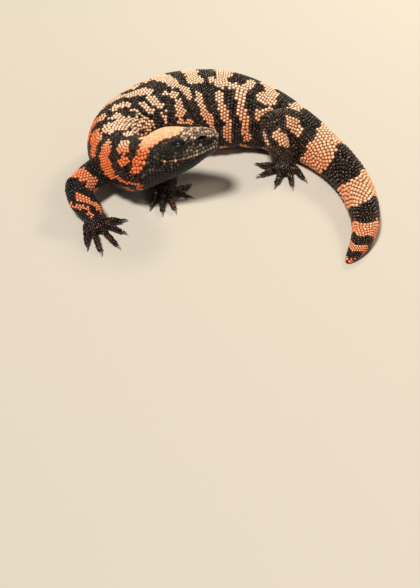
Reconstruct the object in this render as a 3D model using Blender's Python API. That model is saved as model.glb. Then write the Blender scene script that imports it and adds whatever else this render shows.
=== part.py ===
"""A gila monster at life size, lying in a curl with its head turned back along its own flank.

Metres, +Z up. The origin is on the floor, under the flat of the belly at mid trunk. The trunk runs about along
X there, with the tail towards +X. The whole body is one tube along a spine that lies level in plan, and it is
parted by thin cuts into head, neck, trunk and tail. Each limb is a tapered tube along its own bones.
"""

import math

import bpy
import numpy as np
from mathutils import Vector

MM = 0.001
CUT = 0.4 * MM  # the width of a parting cut
HALF_CUT = CUT / 2
CLEARANCE = 0.3 * MM  # left round a piece that sits in another
LIMB_CLEARANCE = 0.5 * MM  # left between a limb and the body, whose facets differ a little

# The spine, from the snout back: distance in mm, and the direction of the tail's end in plan, in degrees.
TOTAL_LENGTH = 508 * MM
MID_TRUNK = 212 * MM
SPINE_HEADING = (
    (0, 178), (55, 175), (78, 148), (96, 119), (114, 90.5), (134, 64.5), (158, 42), (184, 26.5),
    (214, 12.5), (250, -5.5), (290, -26), (330, -40.5), (370, -57), (410, -75), (450, -91.5), (508, -134),
)
# Sections of the body, all in mm against the distance from the snout.
HALF_WIDTH = (
    (0, 5.6), (3, 10), (8, 13.8), (15, 16.6), (38, 21.5), (68, 25.4), (90, 24), (125, 31), (155, 37),
    (200, 42.8), (235, 42), (285, 29.5), (330, 21.3), (385, 16), (440, 13.3), (470, 10.9), (490, 7.8),
    (502, 4.6), (508, 1.6),
)
HEIGHT = (
    (0, 10), (3, 16.5), (8, 22.5), (25, 37), (54, 50), (68, 51), (95, 49.6), (125, 56.5), (155, 64),
    (200, 70), (235, 69), (285, 60), (330, 46.5), (365, 36), (410, 31), (440, 28.5), (470, 24),
    (490, 17.5), (502, 10.5), (508, 4),
)
BELLY_LEVEL = (
    (0, 61), (8, 54.2), (25, 39.5), (54, 22.6), (75, 10.2), (96, 8.4), (112, 5.4), (132, 2.2), (158, -0.8),
    (200, -1.4), (330, -1.2), (508, -0.8),
)
WIDEST_SHARE = 0.43  # how far up the section it is widest
# The head and neck are rolled, so that the crown leans to the animal's left: distance, degrees.
ROLL = ((0, 31), (55, 31), (85, 20), (110, 9), (140, 0), (508, 0))
CROWN_POWER = ((0, 2.5), (55, 2.5), (90, 2.25), (200, 2.15), (508, 2.1))
BELLY_POWER = ((0, 2.3), (60, 2.2), (200, 2.35), (508, 2.2))
# The inner flank of a bend keeps within this share of the bend's radius, so that the flesh is never folded over.
BEND_SHARE = 0.82

# Where the tube is parted: node, first and last distance in mm, ring spacing in mm, points round a ring.
BODY_LENGTHS = (
    ("neck", 82, 108, 5.2, 24),
    ("trunk_front", 108, 172, 6.4, 26),
    ("trunk_middle", 172, 255, 8.3, 26),
    ("trunk_rear", 255, 338, 8.3, 26),
    ("tail_base", 338, 400, 7.8, 20),
    ("tail_middle", 400, 458, 7.3, 18),
    ("tail_tip", 458, 508, 5.6, 16),
)
HEAD_END = 82
HEAD_RINGS = (0, 0.9, 2.8, 5.6, 9.5, 14, 19, 24, 29.5, 35, 40.5, 46, 51.5, 57.5, 64, 71, 82)
HEAD_SIDES = 28

# The mouth's line on the head: distance from the snout and share of the section's height, both sides alike.
MOUTH_LINE = ((-6, 0.34), (0, 0.34), (10, 0.315), (25, 0.355), (40, 0.385), (49, 0.435), (52.5, 0.445))
MOUTH_REACH = 45
MOUTH_DEPTH = 70

# Bumps and hollows of the head: distance, turn from the crown, height, spread along and spread round.
HEAD_RELIEF = (
    (35, 44, 1.8, 8, 13),
    (35, 68, -1.7, 6, 10),
    (16, 50, 0.9, 7, 10),
    (52, 58, -1.5, 7, 13),
    (66, 98, 1.6, 10, 26),
    (12, 20, 0.9, 6, 20),
)
EYE_PLACE = (35, 69)
EYE_RADIUS = 3.8 * MM
EYE_DEPTH = 2.2 * MM
EAR_PLACE = (72, 84)
EAR_HALF_SIZES = Vector((2.2, 3.4, 1.0)) * MM
EAR_DEPTH = 1.3 * MM
NOSTRIL_PLACE = (13.5, 63)
NOSTRIL_RADIUS = 1.6 * MM

# Limb joints in mm, from inside the body to the knee or elbow and on to the ankle or wrist, each with its radius,
# then the palm's middle, and each toe's tip as a direction in plan and a reach from that middle, the toes running
# from the foot's left side to its right.
LIMBS = {
    "front_right": {
        "names": ("upper_arm_right", "forearm_right", "front_foot_right"),
        "upper": (((-70, -73, 24), 14.5), ((-87, -93, 23.5), 13.4), ((-99.5, -109.5, 22.5), 12)),
        "lower": (((-100, -112, 21), 11.6), ((-95.5, -121.5, 16), 11.8), ((-87, -131.5, 12), 10.6)),
        "palm": (-83, -142.5),
        "toes": ((22, 23), (-14, 23), (-50, 30), (-79, 31), (-104, 24)),
    },
    "front_left": {
        "names": ("upper_arm_left", "forearm_left", "front_foot_left"),
        "upper": (((-52, -68, 26), 13), ((-38, -66, 24), 12), ((-27, -66.5, 22), 10.4)),
        "lower": (((-25, -68.5, 20), 10), ((-20.5, -77, 14.5), 9.4), ((-20, -86, 11), 8.8)),
        "palm": (-21.5, -95),
        "toes": ((30, 23), (-11, 20), (-70, 21.5), (-98, 23), (-130, 20)),
    },
    "hind_left": {
        "names": ("thigh_left", "shin_left", "hind_foot_left"),
        "upper": (((102, -24, 30), 17), ((90, -32, 39), 14.5), ((78.5, -38.5, 43), 12.4)),
        "lower": (((77.5, -40, 41), 12), ((82, -46.5, 27), 11.4), ((88, -48.5, 13), 10.2)),
        "palm": (88.5, -57.5),
        "toes": ((326, 21.5), (287, 23), (250, 21.5), (200, 21), (160, 22.5)),
    },
    "hind_right": {
        "names": ("thigh_right", "shin_right", "hind_foot_right"),
        "upper": (((98, -14, 21), 16), ((103, 1, 19), 13.5), ((104, 13, 16), 11.2)),
        "lower": (((103, 15.5, 14.5), 10.8), ((97, 24.5, 12.5), 10.2), ((90, 31, 11), 9.2)),
        "palm": (83.5, 38.5),
        "toes": ((205, 21), (170, 22), (138, 23), (106, 22), (70, 20)),
    },
}
LIMB_SIDES = 12
LIMB_STEPS = 2
DOME = (38, 70)
# The palm as a tube: rows of reach past its middle, half width, half height and level.
PALM_STATIONS = (
    (-8, 8, 6.6, 8.6), (-3.5, 9.4, 6.8, 7.8), (1, 10, 6.2, 6.6), (4.5, 9, 4.8, 5.4), (7, 6, 3.2, 4.4),
)
# How far to the foot's left of the palm's middle each toe starts, then the toe as a tube: rows of the share of
# its way, its level and its radius.
TOE_OFFSETS = (9, 4.9, 0.4, -4.3, -8.6)
TOE_SIDES = 6
TOE_STATIONS = ((0, 6.4, 3.2), (0.36, 6.8, 2.9), (0.72, 4.8, 2.7), (1, 2.9, 2.25))
# Each claw as a tube: rows of reach past the toe's end, level and radius.
CLAW_SIDES = 5
CLAW_STATIONS = ((0, 2.9, 1.5), (2.6, 3.3, 1.25), (5.2, 2.5, 0.85), (7.2, 0.9, 0.28))

# Colour, roughness and metallic value of each kind of surface.
FINISHES = {
    "beaded_hide_pink": ((0.80, 0.36, 0.20), 0.42),
    "beaded_hide_black": ((0.018, 0.015, 0.014), 0.38),
    "horn": ((0.055, 0.038, 0.028), 0.3),
    "eye": ((0.02, 0.012, 0.008), 0.08),
    "eardrum": ((0.05, 0.03, 0.026), 0.5),
}


def clear_scene():
    for old in list(bpy.data.objects):
        bpy.data.objects.remove(old)


def material(name):
    found = bpy.data.materials.get(name)
    if found:
        return found
    colour, roughness = FINISHES[name]
    made = bpy.data.materials.new(name)
    made.use_nodes = True
    shader = made.node_tree.nodes["Principled BSDF"]
    shader.inputs["Base Color"].default_value = (*colour, 1)
    shader.inputs["Roughness"].default_value = roughness
    shader.inputs["Metallic"].default_value = 0
    return made


def along(table, at):
    """A smooth curve through a table's points that never overshoots them (monotone cubic)."""
    x, y = np.array(table, float).T
    step = np.diff(x)
    rise = np.diff(y) / step
    slope = np.concatenate([[rise[0]], np.zeros(len(x) - 2), [rise[-1]]])
    for i in range(1, len(x) - 1):
        if rise[i - 1] * rise[i] > 0:
            before, after = 2 * step[i] + step[i - 1], step[i] + 2 * step[i - 1]
            slope[i] = (before + after) / (before / rise[i - 1] + after / rise[i])
    at = np.clip(np.asarray(at, float), x[0], x[-1])
    i = np.clip(np.searchsorted(x, at, side="right") - 1, 0, len(step) - 1)
    t = (at - x[i]) / step[i]
    return (
        y[i] * (1 + 2 * t) * (1 - t) ** 2
        + step[i] * slope[i] * t * (1 - t) ** 2
        + y[i + 1] * t**2 * (3 - 2 * t)
        + step[i] * slope[i + 1] * t**2 * (t - 1)
    )


def spine_plan():
    """Distance, x, y and heading along the spine: the heading's direction summed in small steps."""
    distance = np.arange(0, TOTAL_LENGTH / MM + 0.5, 0.5)
    heading = np.radians(along(SPINE_HEADING, distance))
    middle = (heading[1:] + heading[:-1]) / 2
    steps = np.diff(distance)
    x = np.concatenate([[0], np.cumsum(np.cos(middle) * steps)])
    y = np.concatenate([[0], np.cumsum(np.sin(middle) * steps)])
    x -= np.interp(MID_TRUNK / MM, distance, x)
    y -= np.interp(MID_TRUNK / MM, distance, y)
    bend_radius = -1 / np.minimum(np.gradient(heading, distance), -1e-4)
    return distance, x, y, heading, bend_radius


SPINE = spine_plan()


def head_relief(distance, turn):
    """Height in mm of the head's bumps and hollows at a distance and a turn in degrees from the crown."""
    total = 0.0
    for place, round_place, height, spread, round_spread in HEAD_RELIEF:
        off_along = (distance - place) / spread
        off_round = (abs(turn) - round_place) / round_spread
        total += height * math.exp(-(off_along**2) - off_round**2)
    return total


def section_point(distance, across, rise, shift=0.0):
    """A point in mm of the section at a distance: across to the animal's left and rise over its widest level.

    The section stands upright across the spine and is then rolled. shift moves the point along the spine.
    """
    spine_distance, spine_x, spine_y, spine_heading = SPINE[:4]
    heading = float(np.interp(distance, spine_distance, spine_heading))
    roll = math.radians(float(along(ROLL, distance)))
    left = across * math.cos(roll) + rise * math.sin(roll)
    up = rise * math.cos(roll) - across * math.sin(roll)
    x = float(np.interp(distance, spine_distance, spine_x)) + math.sin(heading) * left
    y = float(np.interp(distance, spine_distance, spine_y)) - math.cos(heading) * left
    level = float(along(BELLY_LEVEL, distance)) + float(along(HEIGHT, distance)) * WIDEST_SHARE
    return Vector((x + math.cos(heading) * shift / MM, y + math.sin(heading) * shift / MM, level + up))


def body_point(distance, turn, grow=0.0, shift=0.0):
    """A point of the body's surface. turn is in degrees from the crown, and positive on the animal's left, which
    is the inner side of the whole curl.

    The section is a superellipse, with its own power above and below its widest level. grow moves the point out,
    shift moves it along the spine, and nothing goes under the floor.
    """
    angle = math.radians(turn)
    upper = math.cos(angle) >= 0
    power = 2 / float(along(CROWN_POWER if upper else BELLY_POWER, distance))
    half_width = float(along(HALF_WIDTH, distance))
    if turn > 0:
        room = BEND_SHARE * float(np.interp(distance, SPINE[0], SPINE[4]))
        half_width /= (1 + (half_width / room) ** 4) ** 0.25
    half_height = float(along(HEIGHT, distance)) * (1 - WIDEST_SHARE if upper else WIDEST_SHARE)
    relief = head_relief(distance, turn) + grow / MM
    across = math.copysign(abs(math.sin(angle)) ** power, math.sin(angle)) * (half_width + relief)
    rise = math.copysign(abs(math.cos(angle)) ** power, math.cos(angle)) * (half_height + relief)
    point = section_point(distance, across, rise, shift)
    return Vector((point.x, point.y, max(point.z, 0))) * MM


def body_ring(distance, sides, grow=0.0, shift=0.0):
    turns = (360 * i / sides for i in range(sides))
    return [body_point(distance, turn if turn <= 180 else turn - 360, grow, shift) for turn in turns]


def surface_frame(distance, turn):
    """A point of the body's surface, its outward normal and the direction along the body there."""
    here = body_point(distance, turn)
    tailward = (body_point(distance + 1, turn) - body_point(distance - 1, turn)).normalized()
    around = (body_point(distance, turn + 2) - body_point(distance, turn - 2)).normalized()
    normal = tailward.cross(around).normalized()
    if normal.dot(here - section_point(distance, 0, 0) * MM) < 0:
        normal = -normal
    return here, normal, tailward


def add_object(name, verts, faces, finish, smooth=True):
    mesh = bpy.data.meshes.new(name)
    mesh.from_pydata([tuple(v) for v in verts], [], faces)
    mesh.validate()
    made = bpy.data.objects.new(name, mesh)
    bpy.context.scene.collection.objects.link(made)
    mesh.materials.append(material(finish))
    if smooth:
        mesh.shade_smooth()
        mesh.set_sharp_from_angle(angle=math.radians(50))
    return made


def bridge(rings):
    """Vertices and faces of a closed tube through rings of equal count, with a flat cap at each end.

    The faces are turned to point outwards by the sign of the volume that they close.
    """
    count = len(rings[0])
    verts = [point for ring in rings for point in ring]
    faces = []
    for k in range(len(rings) - 1):
        first, second = k * count, (k + 1) * count
        for i in range(count):
            j = (i + 1) % count
            faces.append((first + i, first + j, second + j, second + i))
    last = (len(rings) - 1) * count
    faces.append(tuple(reversed(range(count))))
    faces.append(tuple(range(last, last + count)))
    volume = 0.0
    for face in faces:
        for a, b in zip(face[1:-1], face[2:]):
            volume += verts[face[0]].dot(verts[a].cross(verts[b]))
    if volume < 0:
        faces = [tuple(reversed(face)) for face in faces]
    return verts, faces


def loft(name, rings, finish):
    return add_object(name, *bridge(rings), finish)


def as_guide(made):
    """Marks a cutter: it shapes other pieces and is no piece itself."""
    made.hide_render = True
    made.display_type = "WIRE"
    return made


def combine(made, other, operation):
    boolean = made.modifiers.new(f"{operation.lower()}_{other.name}", "BOOLEAN")
    boolean.operation = operation
    boolean.solver = "EXACT"
    boolean.object = other


def smooth_path(points, values, steps):
    """A Catmull-Rom curve through the points, and the values eased along it in the same way."""
    points = [Vector((*p, v)) if not isinstance(v, Vector) else p for p, v in zip(points, values)]
    ends = [points[0] * 2 - points[1], *points, points[-1] * 2 - points[-2]]
    found = []
    for k in range(1, len(ends) - 2):
        before, start, end, after = ends[k - 1 : k + 3]
        for i in range(steps):
            t = i / steps
            found.append(
                (
                    start * 2
                    + (end - before) * t
                    + (before * 2 - start * 5 + end * 4 - after) * t**2
                    + (start * 3 - before - end * 3 + after) * t**3
                )
                / 2
            )
    found.append(points[-1])
    return [v.to_3d() for v in found], [v[3] for v in found]


def tube_rings(points, half_widths, half_heights, sides):
    """Rings across a path, each wide across the level and tall along the path's own upright."""
    rings = []
    for k, here in enumerate(points):
        before, after = points[max(k - 1, 0)], points[min(k + 1, len(points) - 1)]
        tangent = (after - before).normalized()
        level = tangent.cross(Vector((0, 0, 1)))
        if k and level.length < 0.35:
            level = rings_level - tangent * rings_level.dot(tangent)
        level.normalize()
        rings_level = level
        upright = level.cross(tangent)
        ring = []
        for i in range(sides):
            angle = 2 * math.pi * i / sides
            sideways, upwards = math.cos(angle) * half_widths[k], math.sin(angle) * half_heights[k]
            ring.append(here + level * sideways + upright * upwards)
        rings.append(ring)
    return rings


def stations(first, last, spacing):
    count = round((last - first) / spacing)
    return [first + (last - first) * i / count for i in range(count + 1)]


def build_body_lengths():
    """The neck, trunk and tail, parted by cuts across the spine."""
    for name, first, last, spacing, sides in BODY_LENGTHS:
        distances = stations(first, last, spacing)
        rings = [body_ring(distances[0], sides, shift=HALF_CUT)]
        rings += [body_ring(distance, sides) for distance in distances[1:-1]]
        end_shift = 0.0 if last * MM == TOTAL_LENGTH else -HALF_CUT
        rings.append(body_ring(distances[-1], sides, shift=end_shift))
        loft(name, rings, "beaded_hide_black" if "tail" in name else "beaded_hide_pink")


def jaw_block(name, grow):
    """The space under the mouth's line and in front of its corner, as a prism across the rolled head."""
    outline = []
    for distance, share in MOUTH_LINE:
        height = float(along(HEIGHT, distance))
        outline.append((distance, height * (share - WIDEST_SHARE) + grow / MM))
    outline[-1] = (outline[-1][0] + grow / MM, outline[-1][1])
    outline += [(outline[-1][0], -MOUTH_DEPTH), (outline[0][0], -MOUTH_DEPTH)]
    rings = []
    for across in (-MOUTH_REACH, MOUTH_REACH):
        ring = []
        for distance, rise in outline:
            ahead = min(distance, 0) * MM
            ring.append(section_point(max(distance, 0), across, rise, ahead) * MM)
        rings.append(ring)
    return as_guide(loft(name, rings, "beaded_hide_black"))


def ball(name, centre, radii, normal, tailward, finish, segments=12):
    """A ball or lens as rings about its normal, radii being its half sizes along the body, round it and out."""
    side = normal.cross(tailward).normalized()
    lengthwise = side.cross(normal)
    bands = segments // 2
    rings = []
    for k in range(bands):
        polar = math.pi * (k + 0.5) / bands
        ring = []
        for i in range(segments):
            angle = 2 * math.pi * i / segments
            ahead = lengthwise * radii[0] * math.sin(polar) * math.cos(angle)
            aside = side * radii[1] * math.sin(polar) * math.sin(angle)
            ring.append(centre + ahead + aside + normal * radii[2] * math.cos(polar))
        rings.append(ring)
    return loft(name, rings, finish)


def build_head():
    """The skull's part and the lower jaw, parted along the mouth, with sockets, ears and nostrils cut in."""
    rings = [body_ring(distance, HEAD_SIDES) for distance in HEAD_RINGS[:-1]]
    rings.append(body_ring(HEAD_END, HEAD_SIDES, shift=-HALF_CUT))
    head = loft("head", rings, "beaded_hide_pink")
    jaw = loft("lower_jaw", rings, "beaded_hide_black")
    combine(head, jaw_block("jaw_space", CUT), "DIFFERENCE")
    combine(jaw, jaw_block("jaw_block", 0.0), "INTERSECT")
    for side, sign in (("left", 1), ("right", -1)):
        build_eye(head, side, sign)
        build_ear(head, side, sign)
        build_nostril(head, side, sign)


def build_eye(head, side, sign):
    distance, turn = EYE_PLACE
    here, normal, tailward = surface_frame(distance, sign * turn)
    centre = here - normal * EYE_DEPTH
    ball(f"eye_{side}", centre, [EYE_RADIUS] * 3, normal, tailward, "eye")
    socket_radius = EYE_RADIUS + CLEARANCE
    socket = ball(f"eye_socket_{side}", centre, [socket_radius] * 3, normal, tailward, "eye", 16)
    combine(head, as_guide(socket), "DIFFERENCE")


def build_ear(head, side, sign):
    """An oval recess behind the jaw, with the eardrum as a thin lens lying in it."""
    distance, turn = EAR_PLACE
    here, normal, tailward = surface_frame(distance, sign * turn)
    centre = here - normal * EAR_DEPTH
    ball(f"eardrum_{side}", centre, EAR_HALF_SIZES, normal, tailward, "eardrum", 10)
    room = [size + 2 * CLEARANCE for size in EAR_HALF_SIZES]
    room[2] += EAR_DEPTH + 2 * CLEARANCE
    recess = ball(f"ear_recess_{side}", here, room, normal, tailward, "eardrum")
    combine(head, as_guide(recess), "DIFFERENCE")


def build_nostril(head, side, sign):
    distance, turn = NOSTRIL_PLACE
    here, normal, tailward = surface_frame(distance, sign * turn)
    pit = ball(f"nostril_pit_{side}", here, [NOSTRIL_RADIUS] * 3, normal, tailward, "eye", 8)
    combine(head, as_guide(pit), "DIFFERENCE")


def body_cutter():
    """Most of the tube, a little larger, which trims each limb where it leaves the body."""
    distances = [distance for distance in HEAD_RINGS if distance > 20]
    for _, first, last, spacing, _ in BODY_LENGTHS[:-1]:
        distances += stations(first, last, spacing)[1:]
    rings = [body_ring(distance, 26, grow=LIMB_CLEARANCE) for distance in distances]
    return as_guide(loft("body_space", rings, "beaded_hide_black"))


def floor_cutter():
    """A block under the floor, which leaves each foot a flat at floor level."""
    corners = [Vector((x, y, 0)) * 0.4 for x, y in ((-1, -1), (1, -1), (1, 1), (-1, 1))]
    rings = [[corner - Vector((0, 0, depth)) for corner in corners] for depth in (0.05, 0)]
    return as_guide(loft("floor_space", rings, "beaded_hide_black"))


def limb_rings(joints, grow):
    """Rings along a limb length, with a domed end. grow widens it and lengthens the dome."""
    points = [Vector(place) * MM for place, _ in joints]
    path, radii = smooth_path(points, [radius * MM + grow for _, radius in joints], LIMB_STEPS)
    way = (path[-1] - path[-2]).normalized()
    last, radius = path[-1], radii[-1]
    for turn in DOME:
        path.append(last + way * radius * math.sin(math.radians(turn)))
        radii.append(radius * math.cos(math.radians(turn)))
    return tube_rings(path, radii, radii, LIMB_SIDES)


def build_limb_length(name, joints, spaces, finish):
    """One limb length, trimmed by the spaces that other pieces take up. Returns its own space."""
    made = loft(name, limb_rings(joints, 0.0), finish)
    for space in spaces:
        combine(made, space, "DIFFERENCE")
    return as_guide(loft(f"{name}_space", limb_rings(joints, CLEARANCE), finish))


def build_limb(limb, body_space, floor_space):
    """An upper and a lower length, and the foot with its toes and claws, each trimmed by the one before."""
    upper_name, lower_name, foot_name = limb["names"]
    upper_space = build_limb_length(upper_name, limb["upper"], [body_space], "beaded_hide_pink")
    spaces = [body_space, upper_space]
    lower_space = build_limb_length(lower_name, limb["lower"], spaces, "beaded_hide_black")
    build_foot(foot_name, limb, lower_space, floor_space)


def station_path(start, way, stations):
    """Points in the plane of a direction, from (reach, level, ...) rows in mm."""
    return [Vector((start.x, start.y, row[1] * MM)) + way * row[0] * MM for row in stations]


def squared(ring, centre, way):
    """The ring's points moved along a direction into the plane across it at the centre."""
    return [point - way * (point - centre).dot(way) for point in ring]


def build_foot(name, limb, lower_space, floor_space):
    """The palm with its toes, which start side by side across it and fan out, and a claw past each toe's end."""
    wrist = Vector(limb["lower"][-1][0]) * MM
    palm = Vector((*limb["palm"], 0)) * MM
    forward = Vector((palm.x - wrist.x, palm.y - wrist.y, 0)).normalized()
    left = Vector((-forward.y, forward.x, 0))
    path = station_path(palm, forward, [(reach, level) for reach, _, _, level in PALM_STATIONS])
    half_widths = [half_width * MM for _, half_width, _, _ in PALM_STATIONS]
    half_heights = [half_height * MM for _, _, half_height, _ in PALM_STATIONS]
    rings = tube_rings(path, half_widths, half_heights, LIMB_SIDES)
    foot = loft(name, rings, "beaded_hide_black")
    for number, (offset, (heading, reach)) in enumerate(zip(TOE_OFFSETS, limb["toes"]), start=1):
        start = palm + left * offset * MM
        angle = math.radians(heading)
        end = palm + Vector((math.cos(angle), math.sin(angle), 0)) * reach * MM
        toe = build_toe(f"{name}_toe_{number}", start, end)
        combine(foot, as_guide(toe), "UNION")
        build_claw(f"claw_{name.replace('_foot', '')}_{number}", end, (end - start).normalized())
    combine(foot, lower_space, "DIFFERENCE")
    combine(foot, floor_space, "DIFFERENCE")


def build_toe(name, start, end):
    path = [start + (end - start) * share + Vector((0, 0, level * MM)) for share, level, _ in TOE_STATIONS]
    radii = [radius * MM for _, _, radius in TOE_STATIONS]
    rings = tube_rings(path, radii, radii, TOE_SIDES)
    rings[-1] = squared(rings[-1], path[-1], (end - start).normalized())
    return loft(name, rings, "beaded_hide_black")


def build_claw(name, toe_end, way):
    path = station_path(toe_end + way * CLEARANCE, way, CLAW_STATIONS)
    radii = [radius * MM for _, _, radius in CLAW_STATIONS]
    rings = tube_rings(path, radii, radii, CLAW_SIDES)
    rings[0] = squared(rings[0], path[0], way)
    loft(name, rings, "horn")


def main():
    clear_scene()
    build_head()
    build_body_lengths()
    body_space = body_cutter()
    floor_space = floor_cutter()
    for limb in LIMBS.values():
        build_limb(limb, body_space, floor_space)


main()
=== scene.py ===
"""A gila monster at life size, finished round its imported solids: one hide, its beads, eyes, claws and a stage.

The scene is in metres, +Z up. The tables and formulas here are in millimetres and degrees. A place on the body
is a distance from the snout along the spine, and a turn from the crown that is positive on the animal's left,
the inner side of its curl.
"""

import math

import bmesh
import bpy
import numpy as np
from bpy.props import FloatProperty, FloatVectorProperty, IntProperty, PointerProperty, StringProperty
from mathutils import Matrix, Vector


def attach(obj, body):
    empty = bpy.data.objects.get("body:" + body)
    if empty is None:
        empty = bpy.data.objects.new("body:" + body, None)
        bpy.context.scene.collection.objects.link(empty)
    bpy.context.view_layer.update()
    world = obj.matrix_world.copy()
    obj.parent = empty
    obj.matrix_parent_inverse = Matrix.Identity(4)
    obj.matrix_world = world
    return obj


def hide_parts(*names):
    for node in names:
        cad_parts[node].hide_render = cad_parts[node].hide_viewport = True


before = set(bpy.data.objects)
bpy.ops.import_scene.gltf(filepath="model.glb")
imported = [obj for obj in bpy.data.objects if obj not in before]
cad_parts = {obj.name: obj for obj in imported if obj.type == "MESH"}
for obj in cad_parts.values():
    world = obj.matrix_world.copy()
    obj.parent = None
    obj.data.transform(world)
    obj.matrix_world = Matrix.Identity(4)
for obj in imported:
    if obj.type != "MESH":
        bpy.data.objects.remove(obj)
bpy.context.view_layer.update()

bl_info = {
    "name": "Gila Monster Model",
    "version": (1, 0, 0),
    "blender": (4, 5, 0),
    "location": "3D View > Sidebar > Gila Monster",
    "description": "Builds the hide, beads, eyes and claws of a life-size gila monster",
    "category": "Object",
}

MM = 0.001
TOTAL_LENGTH = 508
MID_TRUNK = 212

# The spine from the snout back: distance, and the direction of the tail's end in plan.
SPINE_HEADING = (
    (0, 178), (55, 175), (78, 148), (96, 119), (114, 90.5), (134, 64.5), (158, 42), (184, 26.5),
    (214, 12.5), (250, -5.5), (290, -26), (330, -40.5), (370, -57), (410, -75), (450, -91.5), (508, -134),
)
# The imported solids' own sections against the distance.
HALF_WIDTH = (
    (0, 5.6), (3, 10), (8, 13.8), (15, 16.6), (38, 21.5), (68, 25.4), (90, 24), (125, 31), (155, 37),
    (200, 42.8), (235, 42), (285, 29.5), (330, 21.3), (385, 16), (440, 13.3), (470, 10.9), (490, 7.8),
    (502, 4.6), (508, 1.6),
)
HEIGHT = (
    (0, 10), (3, 16.5), (8, 22.5), (25, 37), (54, 50), (68, 51), (95, 49.6), (125, 56.5), (155, 64),
    (200, 70), (235, 69), (285, 60), (330, 46.5), (365, 36), (410, 31), (440, 28.5), (470, 24),
    (490, 17.5), (502, 10.5), (508, 4),
)
BELLY_LEVEL = (
    (0, 61), (8, 54.2), (25, 39.5), (54, 22.6), (75, 10.2), (96, 8.4), (112, 5.4), (132, 2.2), (158, -0.8),
    (200, -1.4), (330, -1.2), (508, -0.8),
)
WIDEST_SHARE = 0.43
ROLL = ((0, 31), (55, 31), (85, 20), (110, 9), (140, 0), (508, 0))
CROWN_POWER = ((0, 2.5), (55, 2.5), (90, 2.25), (200, 2.15), (508, 2.1))
BELLY_POWER = ((0, 2.3), (60, 2.2), (200, 2.35), (508, 2.2))
BEND_SHARE = 0.82
HEAD_RELIEF = (
    (35, 44, 1.8, 8, 13),
    (35, 68, -1.7, 6, 10),
    (16, 50, 0.9, 7, 10),
    (52, 58, -1.5, 7, 13),
    (66, 98, 1.6, 10, 26),
    (12, 20, 0.9, 6, 20),
)
HEAD_END = 82

# The mouth's line: distance and share of the section's height, both sides alike.
MOUTH_LINE = ((-6, 0.34), (0, 0.34), (10, 0.315), (25, 0.355), (40, 0.385), (49, 0.435), (52.5, 0.445))
MOUTH_END = 50
EYE_PLACE = (35, 69)
EYE_RADIUS = 3.8
EYE_DEPTH = 2.2
EYE_OPENING = (3.9, 1.95)
EAR_PLACE = (72, 84)
EAR_HALF_SIZES = (2.2, 3.4, 1.0)
EAR_DEPTH = 1.3
NOSTRIL_PLACE = (13.5, 63)

# Limb joints with their radii, the palm's middle, and each toe's tip as a direction and a reach from that
# middle, the toes running from the foot's left side to its right.
LIMBS = {
    "front_right": {
        "nodes": ("upper_arm_right", "forearm_right", "front_foot_right"),
        "upper": (((-70, -73, 24), 14.5), ((-87, -93, 23.5), 13.4), ((-99.5, -109.5, 22.5), 12)),
        "lower": (((-100, -112, 21), 11.6), ((-95.5, -121.5, 16), 11.8), ((-87, -131.5, 12), 10.6)),
        "palm": (-83, -142.5),
        "toes": ((22, 23), (-14, 23), (-50, 30), (-79, 31), (-104, 24)),
    },
    "front_left": {
        "nodes": ("upper_arm_left", "forearm_left", "front_foot_left"),
        "upper": (((-52, -68, 26), 13), ((-38, -66, 24), 12), ((-27, -66.5, 22), 10.4)),
        "lower": (((-25, -68.5, 20), 10), ((-20.5, -77, 14.5), 9.4), ((-20, -86, 11), 8.8)),
        "palm": (-21.5, -95),
        "toes": ((30, 23), (-11, 20), (-70, 21.5), (-98, 23), (-130, 20)),
    },
    "hind_left": {
        "nodes": ("thigh_left", "shin_left", "hind_foot_left"),
        "upper": (((102, -24, 30), 17), ((90, -32, 39), 14.5), ((78.5, -38.5, 43), 12.4)),
        "lower": (((77.5, -40, 41), 12), ((82, -46.5, 27), 11.4), ((88, -48.5, 13), 10.2)),
        "palm": (88.5, -57.5),
        "toes": ((326, 21.5), (287, 23), (250, 21.5), (200, 21), (160, 22.5)),
    },
    "hind_right": {
        "nodes": ("thigh_right", "shin_right", "hind_foot_right"),
        "upper": (((98, -14, 21), 16), ((103, 1, 19), 13.5), ((104, 13, 16), 11.2)),
        "lower": (((103, 15.5, 14.5), 10.8), ((97, 24.5, 12.5), 10.2), ((90, 31, 11), 9.2)),
        "palm": (83.5, 38.5),
        "toes": ((205, 21), (170, 22), (138, 23), (106, 22), (70, 20)),
    },
}
PALM_STATIONS = (
    (-8, 8, 6.6, 8.6), (-3.5, 9.4, 6.8, 7.8), (1, 10, 6.2, 6.6), (4.5, 9, 4.8, 5.4), (7, 6, 3.2, 4.4),
)
TOE_OFFSETS = (9, 4.9, 0.4, -4.3, -8.6)
TOE_STATIONS = ((0, 6.4, 3.2), (0.36, 6.8, 2.9), (0.72, 4.8, 2.7), (1, 2.9, 2.25))
CLAW_STATIONS = ((-1.6, 2.6, 1.5), (0, 2.9, 1.5), (2.6, 3.3, 1.25), (5.2, 2.5, 0.85), (7.2, 0.9, 0.28))

# How far the hide lies inside the solids, which is how high its beads stand.
BODY_COAT = ((0, 0.6), (40, 0.75), (90, 0.9), (400, 0.9), (490, 0.6), (508, 0.35))
LIMB_COAT = 0.75
PALM_COAT = 0.5
TOE_COAT = 0.42

# Bead spacing along the body, and the share of a bead's radius that it stands proud.
BODY_SPACING = (
    (0, 2.2), (12, 2.5), (40, 3.0), (70, 3.1), (100, 3.0), (150, 3.2), (330, 3.5), (370, 4.1), (430, 4.0),
    (470, 3.2), (490, 2.5), (508, 1.7),
)
LIMB_SPACING = 3.0
WRIST_SPACING = 2.2
PALM_SPACING = 1.85
TOE_SPACING = 2.6
TOE_ROW_SHARE = 0.72

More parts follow.
